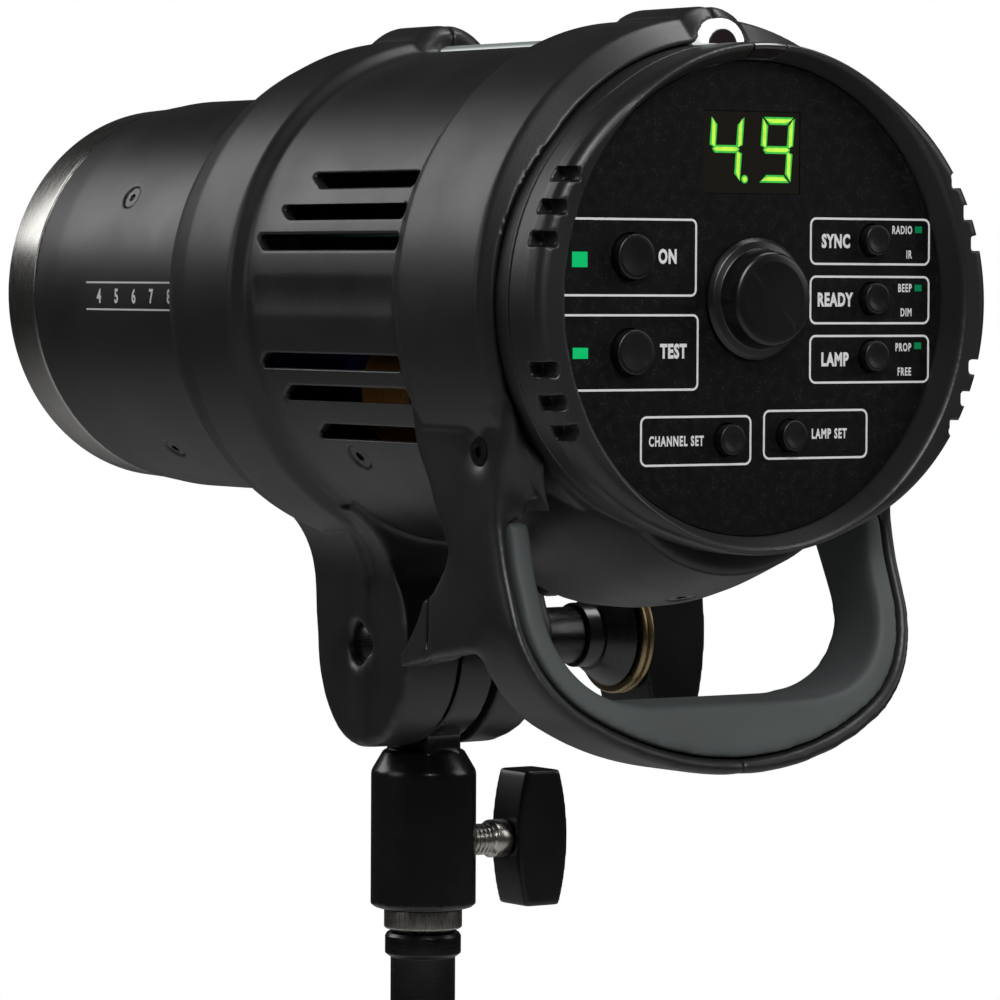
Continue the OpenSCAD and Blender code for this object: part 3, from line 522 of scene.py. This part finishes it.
def moulded(node, voxel, passes, material, snaps=(), after=1.5, cut=None):
    """the node's surface with moulded, softly rounded edges: regridded, averaged, and snapped back
    onto its turned surfaces, always inside the node's own box"""
    me = remeshed(node, voxel)
    co = coords(me)
    edges = np.empty(len(me.edges) * 2, np.int32)
    me.edges.foreach_get("vertices", edges)
    edges = edges.reshape(-1, 2)
    n = passes(co) if callable(passes) else np.full(len(co), float(passes))
    co = relax(co, edges, n, 0.5, cut, voxel)
    for s in snaps:
        co = snap_oval(co, **s) if "lobe" in s else snap(co, **s)
    co = relax(co, edges, np.minimum(n, after), 0.4, cut, voxel)
    lo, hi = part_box(node)
    co = np.clip(co, np.array(lo) / MM, np.array(hi) / MM)
    me.vertices.foreach_set("co", (co * MM).astype(np.float32).ravel())
    me.update()
    me.shade_smooth()
    o = bpy.data.objects.new(node + "_moulded", me)
    bpy.context.scene.collection.objects.link(o)
    place(o, node, material)


NEARLY_STRAIGHT, NEARLY_FOLDED = 3.05, 0.05  # corner angles too flat or too sharp to fillet


def rounded(pts, radii, steps=6):
    """polyline [(r, s), ...] with each inner corner filleted"""
    out = [pts[0]]
    for i in range(1, len(pts) - 1):
        p0, p1, p2 = (np.array(q, float) for q in (pts[i - 1], pts[i], pts[i + 1]))
        rad = radii[i] if isinstance(radii, (list, tuple)) else radii
        a, b = p0 - p1, p2 - p1
        la, lb = np.linalg.norm(a), np.linalg.norm(b)
        if rad <= 0 or la < 1e-6 or lb < 1e-6:
            out.append(tuple(p1))
            continue
        a, b = a / la, b / lb
        ang = math.acos(max(-1, min(1, float(a @ b))))
        if ang > NEARLY_STRAIGHT or ang < NEARLY_FOLDED:
            out.append(tuple(p1))
            continue
        t = min(rad / math.tan(ang / 2), la * 0.45, lb * 0.45)
        r = t * math.tan(ang / 2)
        c = p1 + (a + b) / np.linalg.norm(a + b) * (r / math.sin(ang / 2))
        q0, q1 = p1 + a * t - c, p1 + b * t - c
        w = math.acos(max(-1, min(1, float(q0 @ q1) / (r * r))))
        for k in range(steps + 1):
            f = k / steps
            q = (math.sin((1 - f) * w) * q0 + math.sin(f * w) * q1) / max(math.sin(w), 1e-9)
            out.append(tuple(c + q))
    out.append(pts[-1])
    return out


def lathe(name, pts, axis, centre, segs=128, wave=None):
    """turned solid. pts (radius, distance) run from the axis, or round a ring and back.
    axis Y: centre (x, z from the optical axis), distances from the rim; X: (y, z); Z: (x, y)"""
    ring = pts[0][0] > 1e-6
    rows = []
    co = []
    for r, s in pts:
        if r < 1e-6:
            rows.append([len(co)])
            co.append((0, 0, s))
            continue
        row = []
        for k in range(segs):
            a = 2 * math.pi * k / segs
            rr = r if wave is None else r + wave(r, s, a)
            row.append(len(co))
            co.append((rr * math.cos(a), rr * math.sin(a), s))
        rows.append(row)
    faces = []
    pairs = list(zip(rows, rows[1:]))
    if ring:
        pairs.append((rows[-1], rows[0]))
    for p, q in pairs:
        for k in range(segs):
            j = (k + 1) % segs
            if len(p) == 1 and len(q) == 1:
                continue
            if len(p) == 1:
                faces.append((p[0], q[j], q[k]))
            elif len(q) == 1:
                faces.append((p[k], p[j], q[0]))
            else:
                faces.append((p[k], p[j], q[j], q[k]))
    c = np.array(co)
    if axis == "Y":
        c = np.stack([centre[0] + c[:, 0], REAR_Y + c[:, 2], AXIS_Z + centre[1] + c[:, 1]], 1)
    elif axis == "X":
        c = np.stack([c[:, 2], centre[0] + c[:, 0], centre[1] + c[:, 1]], 1)
    else:
        c = np.stack([centre[0] + c[:, 0], centre[1] + c[:, 1], c[:, 2]], 1)
    o = object_from(name, c * MM, faces)
    bm = bmesh.new()
    bm.from_mesh(o.data)
    bmesh.ops.recalc_face_normals(bm, faces=bm.faces)
    bm.to_mesh(o.data)
    bm.free()
    return o


def creased(o):
    """smooth inside each face, sharp between faces"""
    o.data.shade_smooth()
    o.data.set_sharp_from_angle(angle=math.radians(32))


def eased(o, width):
    """CAD node with small rounded edges, through modifiers"""
    d = o.modifiers.new("flat", "DECIMATE")
    d.decimate_type = "DISSOLVE"
    d.angle_limit = math.radians(2)
    b = o.modifiers.new("edges", "BEVEL")
    b.width = width * MM
    b.segments = 2
    b.limit_method = "ANGLE"
    b.angle_limit = math.radians(40)
    b.harden_normals = False
    w = o.modifiers.new("normals", "WEIGHTED_NORMAL")
    w.keep_sharp = True
    o.data.shade_smooth()


def mm_bore(co):
    """co as x, distance ahead of the rim, height above the optical axis"""
    return co[:, 0], co[:, 1] - REAR_Y, co[:, 2] - AXIS_Z


DRUM = [(59.5, 60.2), (59.5, 124.5), (62.5, 127.6), (62.5, 148), (60.4, 157), (57.4, 163.4)]
BUMPER = [(58.4, 15.6), (64, 20.9), (64, 52), (60.1, 59.8)]


def step(v, a, b):
    """smooth rise from 0 at a to 1 at b"""
    t = np.clip((v - a) / (b - a), 0, 1)
    return t * t * (3 - 2 * t)


# ---------- big mouldings ----------
# the *_passes functions say how softly each region is rounded
def housing_passes(co):
    x, d, z = mm_bore(co)
    hub = step(-z, 66, 78) * step(np.abs(x), 9, 14)
    leg = step(-z, 50, 66) * step(np.abs(x), 8, 12)
    slots = (d > 56) & (d < 123) & (np.abs(z) < 35)
    hump = step(z, 57, 60) * step(9 - np.abs(np.abs(x) - 8), 0, 3)
    return np.where(slots, 0.4, 3.0) + 7 * leg + 26 * hub + 9 * hump


def frame_passes(co):
    x, d, z = mm_bore(co)
    arm = step(-z, 36, 56)
    strut = step(d, 46, 60)
    shoulder = step(-z, 20, 26) * (1 - step(-z, 38, 48)) * step(np.abs(x), 46, 52)
    lip = step(-z, 16, 24) * (1 - step(d, 24, 32))
    return 3.5 + 15 * arm * (1 - strut) + 4 * strut + 40 * shoulder + 24 * lip


# heights of the grip notches from the optical axis
NOTCHES = (27.2, 20, 12.9, -15.5, -22.8, -29.4)


def bezel_passes(co):
    x, d, z = mm_bore(co)
    near = np.min([np.abs(z - n) for n in NOTCHES], 0) < 3.2
    near &= (np.abs(x) > 50) & (d < 4.5)
    return np.where(near, 0.6, 3.0)


def cover_passes(co):
    height = mm_bore(co)[2]
    return 3.0 + 6 * step(-height, 56, 64)


JOINT_X = 0.1  # half of the hairline gap between the left and right mouldings


def halves():
    for side, sign in (("left", -1), ("right", 1)):
        cut = sign * JOINT_X
        moulded(side + "_housing", 0.66, housing_passes, "body_black",
                [dict(profile=DRUM, sigma=0.8, tol=0.5)], cut=cut)
        moulded(side + "_handle_frame", 0.7, frame_passes, "body_black",
                [dict(profile=BUMPER, sigma=0.5, tol=0.6)], cut=cut)


def rear_end():
    moulded("rear_cover", 0.75, cover_passes, "body_black",
            [dict(base=[(57.8, 9.3), (57.8, 18.4)], lobe=[(52.9, 9.3), (50.2, 18.4)], cx=10.2,
                  cz=-1, sigma=0.3, tol=0.9),
             dict(profile=[(38.4, 9.3), (41.5, 18), (44.5, 27), (46.8, 36), (48, 46), (48, 57)],
                  sigma=1.5, tol=0.45, centre=(0, -24))])
    moulded("panel_bezel", 0.45, bezel_passes, "body_black",
            [dict(base=[(57, -2.9), (57.4, -2.5), (57.8, 0), (57.8, 9.1)],
                  lobe=[(51, -2.9), (52.4, -2.3), (53.4, -0.8), (53.7, 2), (52.9, 9.1)],
                  cx=10.2, cz=-1, sigma=0.3, tol=0.9, lo=-2.4),
             dict(profile=[(56, -2.2), (53.6, 2.8)], sigma=0.3, tol=0.3, lo=-2.0, hi=2.7)],
            after=2.0)


def mouldings():
    halves()
    moulded("handle_grip", 0.6, 26.0, "soft_grip")
    rear_end()
    moulded("barrel", 0.8, 2.0, "body_black",
            [dict(profile=[(BARREL_R, 163.9), (BARREL_R, 232), (48.9, 245.2)], sigma=1.0,
                  tol=0.4)])
    moulded("sensor_light_bar", 0.4, 2.0, "light_bar")
    moulded("stand_adapter", 0.5, 4.0, "painted_black",
            [dict(profile=[(13, 6), (13, 39), (9.8, 44.4)], sigma=0.5, tol=0.4, axis="Z",
                  hi=44),
             dict(profile=[(24.5, -5), (24.5, 5)], sigma=0.5, tol=0.35, axis="X",
                  centre=(0, TILT_Z), lo=-4.4, hi=4.4)])
    for knob, voxel in (("clamp_knob", 0.4), ("tilt_knob", 0.45)):
        moulded(knob, voxel, 14.0, "trim_black")


# ---------- turned pieces ----------
def thread(pitch, depth, s0, s1):
    """wave that cuts a V thread from s0 to s1"""
    def wave(r, s, a):
        if s < s0 or s > s1:
            return 0.0
        t = (s / pitch + a / (2 * math.pi)) % 1.0
        return -depth * abs(2 * t - 1)
    return wave


def rod(r, s0, s1, n):
    """plain length in n slices, fine enough to carry a thread or a knurl"""
    return [(r, s0 + (s1 - s0) * k / n) for k in range(n + 1)]


def front_ring():
    pts = rounded([(44.7, 245.5), (48.6, 245.4), (48.75, 246.2), (48.25, 259.6), (47.4, 260.7),
                   (45.6, 260.7), (44.7, 259.8), (44.7, 252)], 0.35, 3)
    place(lathe("front_ring_turned", pts, "Y", (0, 0), 256), "front_ring", "turned_ring")


def dial_knob():
    crown, foot = PANEL_FACE - 7.6, 2.55
    pts = rounded([(0, crown + 0.3), (8.4, crown + 0.05), (10.6, crown + 0.4), (11.2, 0.6),
                   (12.9, 1.1), (13.8, 2.0), (13.8, foot), (0, foot)],
                  [0, 0.5, 1.5, 0.6, 0.8, 0.2, 0.1, 0], 5)
    place(lathe("dial_knob", pts, "Y", (0, 0), 160), "dial", "trim_black")


# x, height from the optical axis, and radius of each button
BUTTONS = {
    "on_button": (-34.5, 9.3, 5.1), "test_button": (-34.5, -11.9, 5.1),
    "slave_button": (33.6, 13.5, 3.5), "ready_button": (33.6, 0.2, 3.5),
    "model_button": (33.6, -13, 3.5), "channel_button": (-7.5, -31.6, 3.5),
    "lamp_set_button": (10.1, -30.9, 3.5),
}


def button_caps():
    top, collar, foot = 0.4, 5.0, 8.3
    for n, (x, z, r) in BUTTONS.items():
        pts = rounded([(0, top + 0.42), (r * 0.45, top + 0.28), (r * 0.80, top + 0.05),
                       (r - 0.05, top + 0.1), (r - 0.02, collar), (r * 0.45, collar + 0.1),
                       (r * 0.45, foot), (0, foot)], [0, 1.0, 0.4, 0.5, 0.1, 0.1, 0.1, 0], 5)
        place(lathe(n + "_cap", pts, "Y", (x, z), 96), n, "button_black")


def clamp_pieces():
    at = (0, 21)
    pts = [(0, 10.95), (3.3, 10.95), (3.95, 11.6)] + rod(3.97, 11.7, 19.3, 60)
    pts += [(4.7, 19.6), (4.75, 20.0), (4.75, 23.7), (4.4, 24.1), (3.3, 24.15), (3.3, 29.9),
            (0, 29.9)]
    place(lathe("clamp_screw_threaded", pts, "X", at, 72, thread(1.25, 0.55, 11.6, 19.35)),
          "clamp_screw", "steel")
    tip = rounded([(0, 8.75), (2.2, 8.75), (2.85, 9.4), (2.85, 10.55), (0, 10.55)], 0.25)
    place(lathe("clamp_tip_turned", tip, "X", at, 48), "clamp_tip", "brass")
    bush = rounded([(8.15, 0.4), (8.5, 0.05), (9.2, 0.05), (9.65, 0.5), (9.65, 4.8),
                    (9.12, 4.85), (9.12, 10.7), (8.15, 10.7)], 0.12, 3)
    place(lathe("socket_bush_turned", bush, "Z", (0, 0), 96), "socket_bush", "steel")


def tilt_pieces():
    at = (0, TILT_Z)
    washer = rounded([(5.1, 44.6), (8.1, 44.6), (8.15, 48.9), (9.0, 49.1), (13.5, 55.5),
                      (5.1, 55.5)], 0.25, 3)
    place(lathe("tilt_washer_turned", washer, "X", at, 96), "tilt_washer", "painted_black")
    ring = rounded([(5.1, 56.0), (14.7, 56.0), (15.15, 56.4), (15.15, 57.2), (14.2, 57.5),
                    (14.2, 57.9), (15.15, 58.2), (15.15, 59.1), (14.8, 59.4), (5.1, 59.4)],
                   0.15, 3)
    place(lathe("tilt_ring_turned", ring, "X", at, 128), "tilt_knob_ring", "gilt_ring")
    axle = [(0, -17.4), (4.6, -17.4)] + rod(4.95, -17.0, 22.7, 8)
    axle += [(7.1, 22.85), (7.15, 23.2), (7.15, 43.6), (7.0, 43.95), (4.97, 44.0)]
    axle += rod(4.97, 44.2, 65.6, 90) + [(0, 65.9)]
    place(lathe("tilt_axle_threaded", axle, "X", at, 72, thread(1.5, 0.5, 44.1, 65.5)),
          "tilt_axle", "post_steel")


def umbrella_lock():
    at = (REAR_Y + 82, AXIS_Z - 66)
    head_r, shank_r, flutes = 4.5, 2.1, 24
    helix = thread(0.7, 0.25, 1.45, 5.65)

    def wave(r, s, a):
        if r > head_r and -2.2 < s < 1.0:
            return -0.35 * (0.5 + 0.5 * math.cos(flutes * a))
        return helix(r, s, a) if r < shank_r else 0.0
    pts = [(0, -2.5), (3.9, -2.55), (4.8, -2.3)] + rod(5.15, -2.0, 0.9, 8)
    pts += [(4.7, 1.25), (2.2, 1.35)] + rod(1.97, 1.5, 5.7, 24) + [(0, 5.75)]
    place(lathe("umbrella_lock_screw_knurled", pts, "X", at, 144, wave), "umbrella_lock_screw",
          "trim_black")
    tip = rounded([(0, 6.02), (1.2, 6.02), (1.45, 6.2), (1.45, 6.9), (0, 6.9)], 0.1)
    place(lathe("umbrella_lock_tip_turned", tip, "X", at, 32), "umbrella_lock_tip", "brass")


def front_glass():
    pts = rounded([(0, 251.0), (42, 250.4), (44.4, 250.4), (44.4, 254.0), (42, 254.1),
                   (0, 254.1)], 0.5)
    place(lathe("front_glass_pressed", pts, "Y", (0, 0), 160), "front_glass", "glass")


# ---------- CAD nodes that keep their own surfaces ----------
# material, slot, and width in millimetres of the eased edges (0: creased only)
KEPT = {
    "control_panel": ("panel_film", "panel", 0),
    "display_module": ("display_window", "display", 0.2),
    "status_leds": ("led_green", "led_green", 0.55),
    "infrared_window": ("dark_window", "dark_window", 0),
    "sensor_core": ("dark_window", "dark_window", 0.15),
    "reflector_dish": ("reflector", "reflector", 0), "flash_tube": ("tube_glass", "tube_glass", 0),
    "modelling_lamp": ("lamp_glass", "tube_glass", 0), "lamp_socket": ("ceramic", "ceramic", 0.4),
    "lamp_carrier": ("satin_metal", "satin_metal", 0.2),
    "barrel_screws": ("black_steel", "steel", 0.2),
    "housing_screws": ("black_steel", "steel", 0.25),
    "tilt_friction_discs": ("friction", "friction", 0.2),
    "umbrella_tube": ("dark_satin", "satin_metal", 0.3),
    "dial_shaft": ("steel", "steel", 0.3), "dial_encoder": ("inside_black", "trim_black", 0.4),
    "panel_board": ("board", "board", 0), "power_board": ("board", "board", 0),
    "capacitors": ("sleeve", "sleeve", 1.2), "charge_coil": ("copper", "copper", 1.5),
    "fan_frame": ("inside_black", "trim_black", 0.4),
    "fan_rotor": ("inside_black", "trim_black", 0),
    "connector_plate": ("trim_black", "trim_black", 0.25),
    "mains_inlet": ("trim_black", "trim_black", 0.4), "inlet_pins": ("contact", "contact", 0.4),
    "power_rocker": ("button_black", "trim_black", 0.4),
    "sync_sockets": ("contact", "contact", 0.2), "data_port": ("steel", "steel", 0.2),
    "fuse_cap": ("trim_black", "trim_black", 0.35),
}


def kept():
    for n, (material, slot, width) in KEPT.items():
        o = NODES[n]
        finish_slot(o, material)
        if width:
            eased(o, width)
        else:
            creased(o)


# ---------- printing, segments and labels ----------
CAP_HEIGHT = 0.70  # capital letters as a share of the font's size


def counter_clockwise(order, pts):
    """the same loop of points, turned round if it runs clockwise"""
    area2 = 0
    for i, j in zip(order, order[1:] + order[:1]):
        area2 += pts[i][0] * pts[j][1] - pts[j][0] * pts[i][1]
    return order if area2 > 0 else order[::-1]


class Sheet:
    """thin raised shapes on a surface, gathered into one mesh"""
    def __init__(self, name, lift, thick):
        self.name, self.lift, self.thick = name, lift, thick
        self.v, self.f = [], []

    def solid(self, loop_faces, pts):
        """pts: flat points (u, v). faces index them counter-clockwise. edges that only one face
        has get a side wall, in the order drawn"""
        n = len(self.v)
        m = len(pts)
        for u, w in pts:
            self.v.append((u, w, self.lift + self.thick))
        for u, w in pts:
            self.v.append((u, w, self.lift))
        edges = {}
        for f in loop_faces:
            self.f.append(tuple(n + i for i in f))
            self.f.append(tuple(n + m + i for i in reversed(f)))
            for a, b in zip(f, f[1:] + f[:1]):
                edges[(a, b)] = True
        for a, b in edges:
            if (b, a) not in edges:
                self.f.append((n + a, n + m + a, n + m + b, n + b))

    def strip(self, pts, width, closed):
        """line of even width along the points"""
        p = [np.array(q, float) for q in pts]
        n = len(p)
        out_l, out_r = [], []
        for i in range(n):
            if closed:
                a, b = p[i - 1], p[(i + 1) % n]
            else:
                a, b = p[max(i - 1, 0)], p[min(i + 1, n - 1)]
            t = (b - a) / np.linalg.norm(b - a)
            nrm = np.array([-t[1], t[0]])
            out_l.append(tuple(p[i] + nrm * width / 2))
            out_r.append(tuple(p[i] - nrm * width / 2))
        allp = out_l + out_r
        faces = []
        for i in range(n if closed else n - 1):
            j = (i + 1) % n
            faces.append([i, n + i, n + j, j])
        self.solid(faces, allp)

    def poly(self, pts):
        self.solid([list(range(len(pts)))], pts)

    def words(self, text, x, y, height, align="CENTER", squeeze=0.72, bold=0.045):
        """capitals or figures, centred on height y"""
        cu = bpy.data.curves.new("t", "FONT")
        cu.body = text
        cu.size = 1.0
        cu.align_x = "LEFT"
        cu.offset = bold
        cu.space_character = 1.12 if height > 2.5 else 1.2
        cu.resolution_u = 3
        ob = bpy.data.objects.new("t", cu)
        bpy.context.scene.collection.objects.link(ob)
        dg = bpy.context.evaluated_depsgraph_get()
        me = bpy.data.meshes.new_from_object(ob.evaluated_get(dg))
        co = np.array([v.co for v in me.vertices])[:, :2]
        k = height / CAP_HEIGHT
        co = co * [k * squeeze, k]
        lo, hi = co.min(0), co.max(0)
        co[:, 0] += x - {"CENTER": (lo[0] + hi[0]) / 2, "LEFT": lo[0], "RIGHT": hi[0]}[align]
        co[:, 1] += y - (lo[1] + hi[1]) / 2
        faces = [counter_clockwise(list(p.vertices), co) for p in me.polygons]
        self.solid(faces, [tuple(c) for c in co])
        bpy.data.objects.remove(ob)
        bpy.data.curves.remove(cu)
        bpy.data.meshes.remove(me)

    def build(self, mapping, material):
        """mapping turns (u, v, lift) into millimetres of the frame"""
        co = np.array([mapping(*q) for q in self.v])
        o = object_from(self.name, co * MM, self.f, smooth=False)
        bm = bmesh.new()
        bm.from_mesh(o.data)
        bmesh.ops.remove_doubles(bm, verts=bm.verts, dist=1e-9)
        bmesh.ops.recalc_face_normals(bm, faces=bm.faces)
        bm.to_mesh(o.data)
        bm.free()
        place(o, None, material, "head")


def corner(cx, cy, r, a0, a1):
    n = 6
    turns = (math.radians(a0 + (a1 - a0) * k / n) for k in range(n + 1))
    return [(cx + r * math.cos(a), cy + r * math.sin(a)) for a in turns]


def box_outline(x0, x1, z0, z1):
    r = 1.5
    return (corner(x1 - r, z1 - r, r, 90, 0) + corner(x1 - r, z0 + r, r, 0, -90)
            + corner(x0 + r, z0 + r, r, -90, -180) + corner(x0 + r, z1 - r, r, 180, 90))


def on_panel(u, v, lift):
    return (u, REAR_Y + PANEL_FACE - lift, AXIS_Z + v)


def on_display(u, v, lift):
    return (u, REAR_Y + DISPLAY_FACE - lift, AXIS_Z + v)


def rim_x(z):
    """left end of a line that runs off the panel under the bezel"""
    r = 53.0
    return -math.sqrt(r * r - z * z)


def printing():
    s = Sheet("panel_printing", 0.0, 0.06)
    w, r = 0.5, 1.3
    for x1, z1, z0 in ((-16.5, 17.6, 0.7), (-15.9, -3.7, -20.3)):
        upper = [(rim_x(z1), z1)] + corner(x1 - r, z1 - r, r, 90, 0)
        lower = corner(x1 - r, z0 + r, r, 0, -90) + [(rim_x(z0), z0)]
        s.strip(upper + lower, w, False)
    for z1, z0 in ((18.3, 8.0), (5.1, -5.5), (-8.4, -19.0)):
        s.strip(box_outline(15.9, 50.3, z0, z1), w, True)
    s.strip(box_outline(-31.4, -0.9, -37.2, -26.4), w, True)
    s.strip(box_outline(2.9, 32.4, -36.1, -25.3), w, True)
    s.words("ON", -24.4, 9.4, 3.0)
    s.words("TEST", -22.6, -11.7, 3.0)
    for t, z, a, b in (("SYNC", 13.2, "RADIO", "IR"), ("READY", -0.1, "BEEP", "DIM"),
                       ("LAMP", -13.7, "PROP", "FREE")):
        s.words(t, 23.1, z, 2.9)
        s.words(a, 45.3, z + 2.7, 1.8, "RIGHT", 0.66, 0.025)
        s.words(b, 45.3, z - 2.9, 1.8, "RIGHT", 0.66, 0.025)
    s.words("CHANNEL SET", -21.6, -31.8, 2.15, "CENTER", 0.66, 0.035)
    s.words("LAMP SET", 21.6, -30.6, 2.15, "CENTER", 0.66, 0.035)
    s.build(on_panel, "ink_white")


# ---------- display: lit figures of seven segments ----------
FIGURES = {"4": "bcfg", "9": "abcdfg"}
BAR = 1.75
GAP = 0.22
LEAN = 0.08


def level_bar(x0, x1, z, kind):
    a, b = x0 + GAP + 0.2, x1 - GAP - 0.2
    t = BAR
    if kind == "top":
        return [(a, z), (b, z), (b - t, z - t), (a + t, z - t)]
    if kind == "low":
        return [(a + t, z + t), (b - t, z + t), (b, z), (a, z)]
    return [(a + 0.3, z), (a + t / 2 + 0.3, z + t / 2), (b - t / 2 - 0.3, z + t / 2),
            (b - 0.3, z), (b - t / 2 - 0.3, z - t / 2), (a + t / 2 + 0.3, z - t / 2)]


def upright_bar(x, za, zb, side, upper):
    """side: 1 at the figure's right, -1 at its left. upper: above the middle bar"""
    inner = x - BAR * side
    near, far = BAR, BAR * 0.4
    outer_top, inner_top = (0, near) if upper else (far, 0)
    outer_low, inner_low = (far, 0) if upper else (0, near)
    return [(x, zb - GAP - outer_top), (inner, zb - GAP - inner_top),
            (inner, za + GAP + inner_low), (x, za + GAP + outer_low)]


def segment(key, x0, x1, z0, z1):
    mid = (z0 + z1) / 2
    shapes = {
        "a": lambda: level_bar(x0, x1, z1, "top"), "d": lambda: level_bar(x0, x1, z0, "low"),
        "g": lambda: level_bar(x0, x1, mid, "mid"),
        "b": lambda: upright_bar(x1, mid, z1, 1, True),
        "c": lambda: upright_bar(x1, z0, mid, 1, False),
        "f": lambda: upright_bar(x0, mid, z1, -1, True),
    }
    pts = [(x + (z - z0) * LEAN, z) for x, z in shapes[key]()]
    return [pts[i] for i in counter_clockwise(list(range(len(pts))), pts)]


def display():
    lit_part = Sheet("display_figures", 0.06, 0.04)
    glow = Sheet("display_glow", 0.01, 0.03)
    z0, z1 = 26.2, 41.0
    for figure, x0, x1 in (("4", -13.4, -4.2), ("9", 0.9, 10.1)):
        for key in FIGURES[figure]:
            pts = segment(key, x0, x1, z0, z1)
            glow.poly(pts)
            c = np.mean(pts, 0)
            inner = [0.90, 0.5] if key in "adg" else [0.5, 0.92]
            lit_part.poly([tuple(c + (np.array(v) - c) * inner) for v in pts])
    for sheet, r in ((glow, 0.95), (lit_part, 0.6)):
        sheet.poly([(-2.9 + r * math.cos(a), 26.9 + r * math.sin(a))
                    for a in (2 * math.pi * k / 20 for k in range(20))])
    glow.build(on_display, "segments_edge")
    lit_part.build(on_display, "segments_lit")


# ---------- numbered scale round the barrel ----------
# u runs to the rear along the barrel from the rim's plane, v up round it
SCALE = dict(top=2.9, low=-3.87, u0=-216.4, u1=-164.5, first=-210.0, pitch=8.55)


def on_barrel(u, v, lift):
    a = v / BARREL_R
    r = BARREL_R + lift
    return (-r * math.cos(a), REAR_Y - u, AXIS_Z + r * math.sin(a))


def barrel_scale():
    s = Sheet("barrel_scale", 0.0, 0.05)
    z_top, z_low = SCALE["top"], SCALE["low"]
    n = 40
    for z in (z_top, z_low):
        s.strip([(SCALE["u0"] + (SCALE["u1"] - SCALE["u0"]) * k / n, z) for k in range(n + 1)],
                0.45, False)
    for k, ch in enumerate("45678"):
        s.words(ch, SCALE["first"] + SCALE["pitch"] * k, (z_top + z_low) / 2, 3.4,
                squeeze=0.8, bold=0.03)
    s.build(on_barrel, "ink_white")


# ---------- ground and stand post ----------
FLOOR_Z = -0.62
FLOOR_R = 4
FLOOR_SEEN = 0.84  # evenly lit paper to the camera, while its real light stays weak
SEEN_SHARE = 0.9


def floor_paper():
    nt, bsdf, coord = start("floor_paper")
    m = noise(nt, coord, 9.0, 3.0)
    nt.links.new(two_tone(nt, m.outputs["Fac"], (0.80, 0.80, 0.80), (0.86, 0.86, 0.86)),
                 bsdf.inputs["Base Color"])
    nt.links.new(span(nt, m.outputs["Fac"], 0.3, 0.7, 0.7, 0.8), bsdf.inputs["Roughness"])
    glow = nt.nodes.new("ShaderNodeEmission")
    glow.inputs["Strength"].default_value = FLOOR_SEEN
    path = nt.nodes.new("ShaderNodeLightPath")
    mix = nt.nodes.new("ShaderNodeMixShader")
    share = span(nt, path.outputs["Is Camera Ray"], 0, 1, 0, SEEN_SHARE)
    out = next(q for q in nt.nodes if q.type == "OUTPUT_MATERIAL")
    nt.links.new(share, mix.inputs[0])
    nt.links.new(bsdf.outputs[0], mix.inputs[1])
    nt.links.new(glow.outputs[0], mix.inputs[2])
    nt.links.new(mix.outputs[0], out.inputs[0])


def ground():
    n = 96
    turns = [2 * math.pi * k / n for k in range(n)]
    co = [(0, 0, FLOOR_Z)]
    co += [(FLOOR_R * math.cos(a), FLOOR_R * math.sin(a), FLOOR_Z) for a in turns]
    floor = object_from("floor", co, [(0, k + 1, (k + 1) % n + 1) for k in range(n)])
    floor_paper()
    floor.data.materials.append(MATERIALS["floor_paper"])
    pts = rounded([(0, 31), (7.6, 31), (7.95, 30.4), (7.95, -0.5), (8.9, -1.0), (9.4, -1.8),
                   (9.4, -6.0), (8.7, -6.6), (8.0, -7.0), (8.0, -22), (8.0, -600), (16, -606),
                   (16, -619), (0, -619)], 0.3, 3)
    post = lathe("stand_post", pts, "Z", (0, 0), 72)
    post.data.materials.append(MATERIALS["post_steel"])


camera()
studio()
materials()
ground()
mouldings()
front_ring()
dial_knob()
button_caps()
clamp_pieces()
tilt_pieces()
umbrella_lock()
front_glass()
kept()
printing()
display()
barrel_scale()
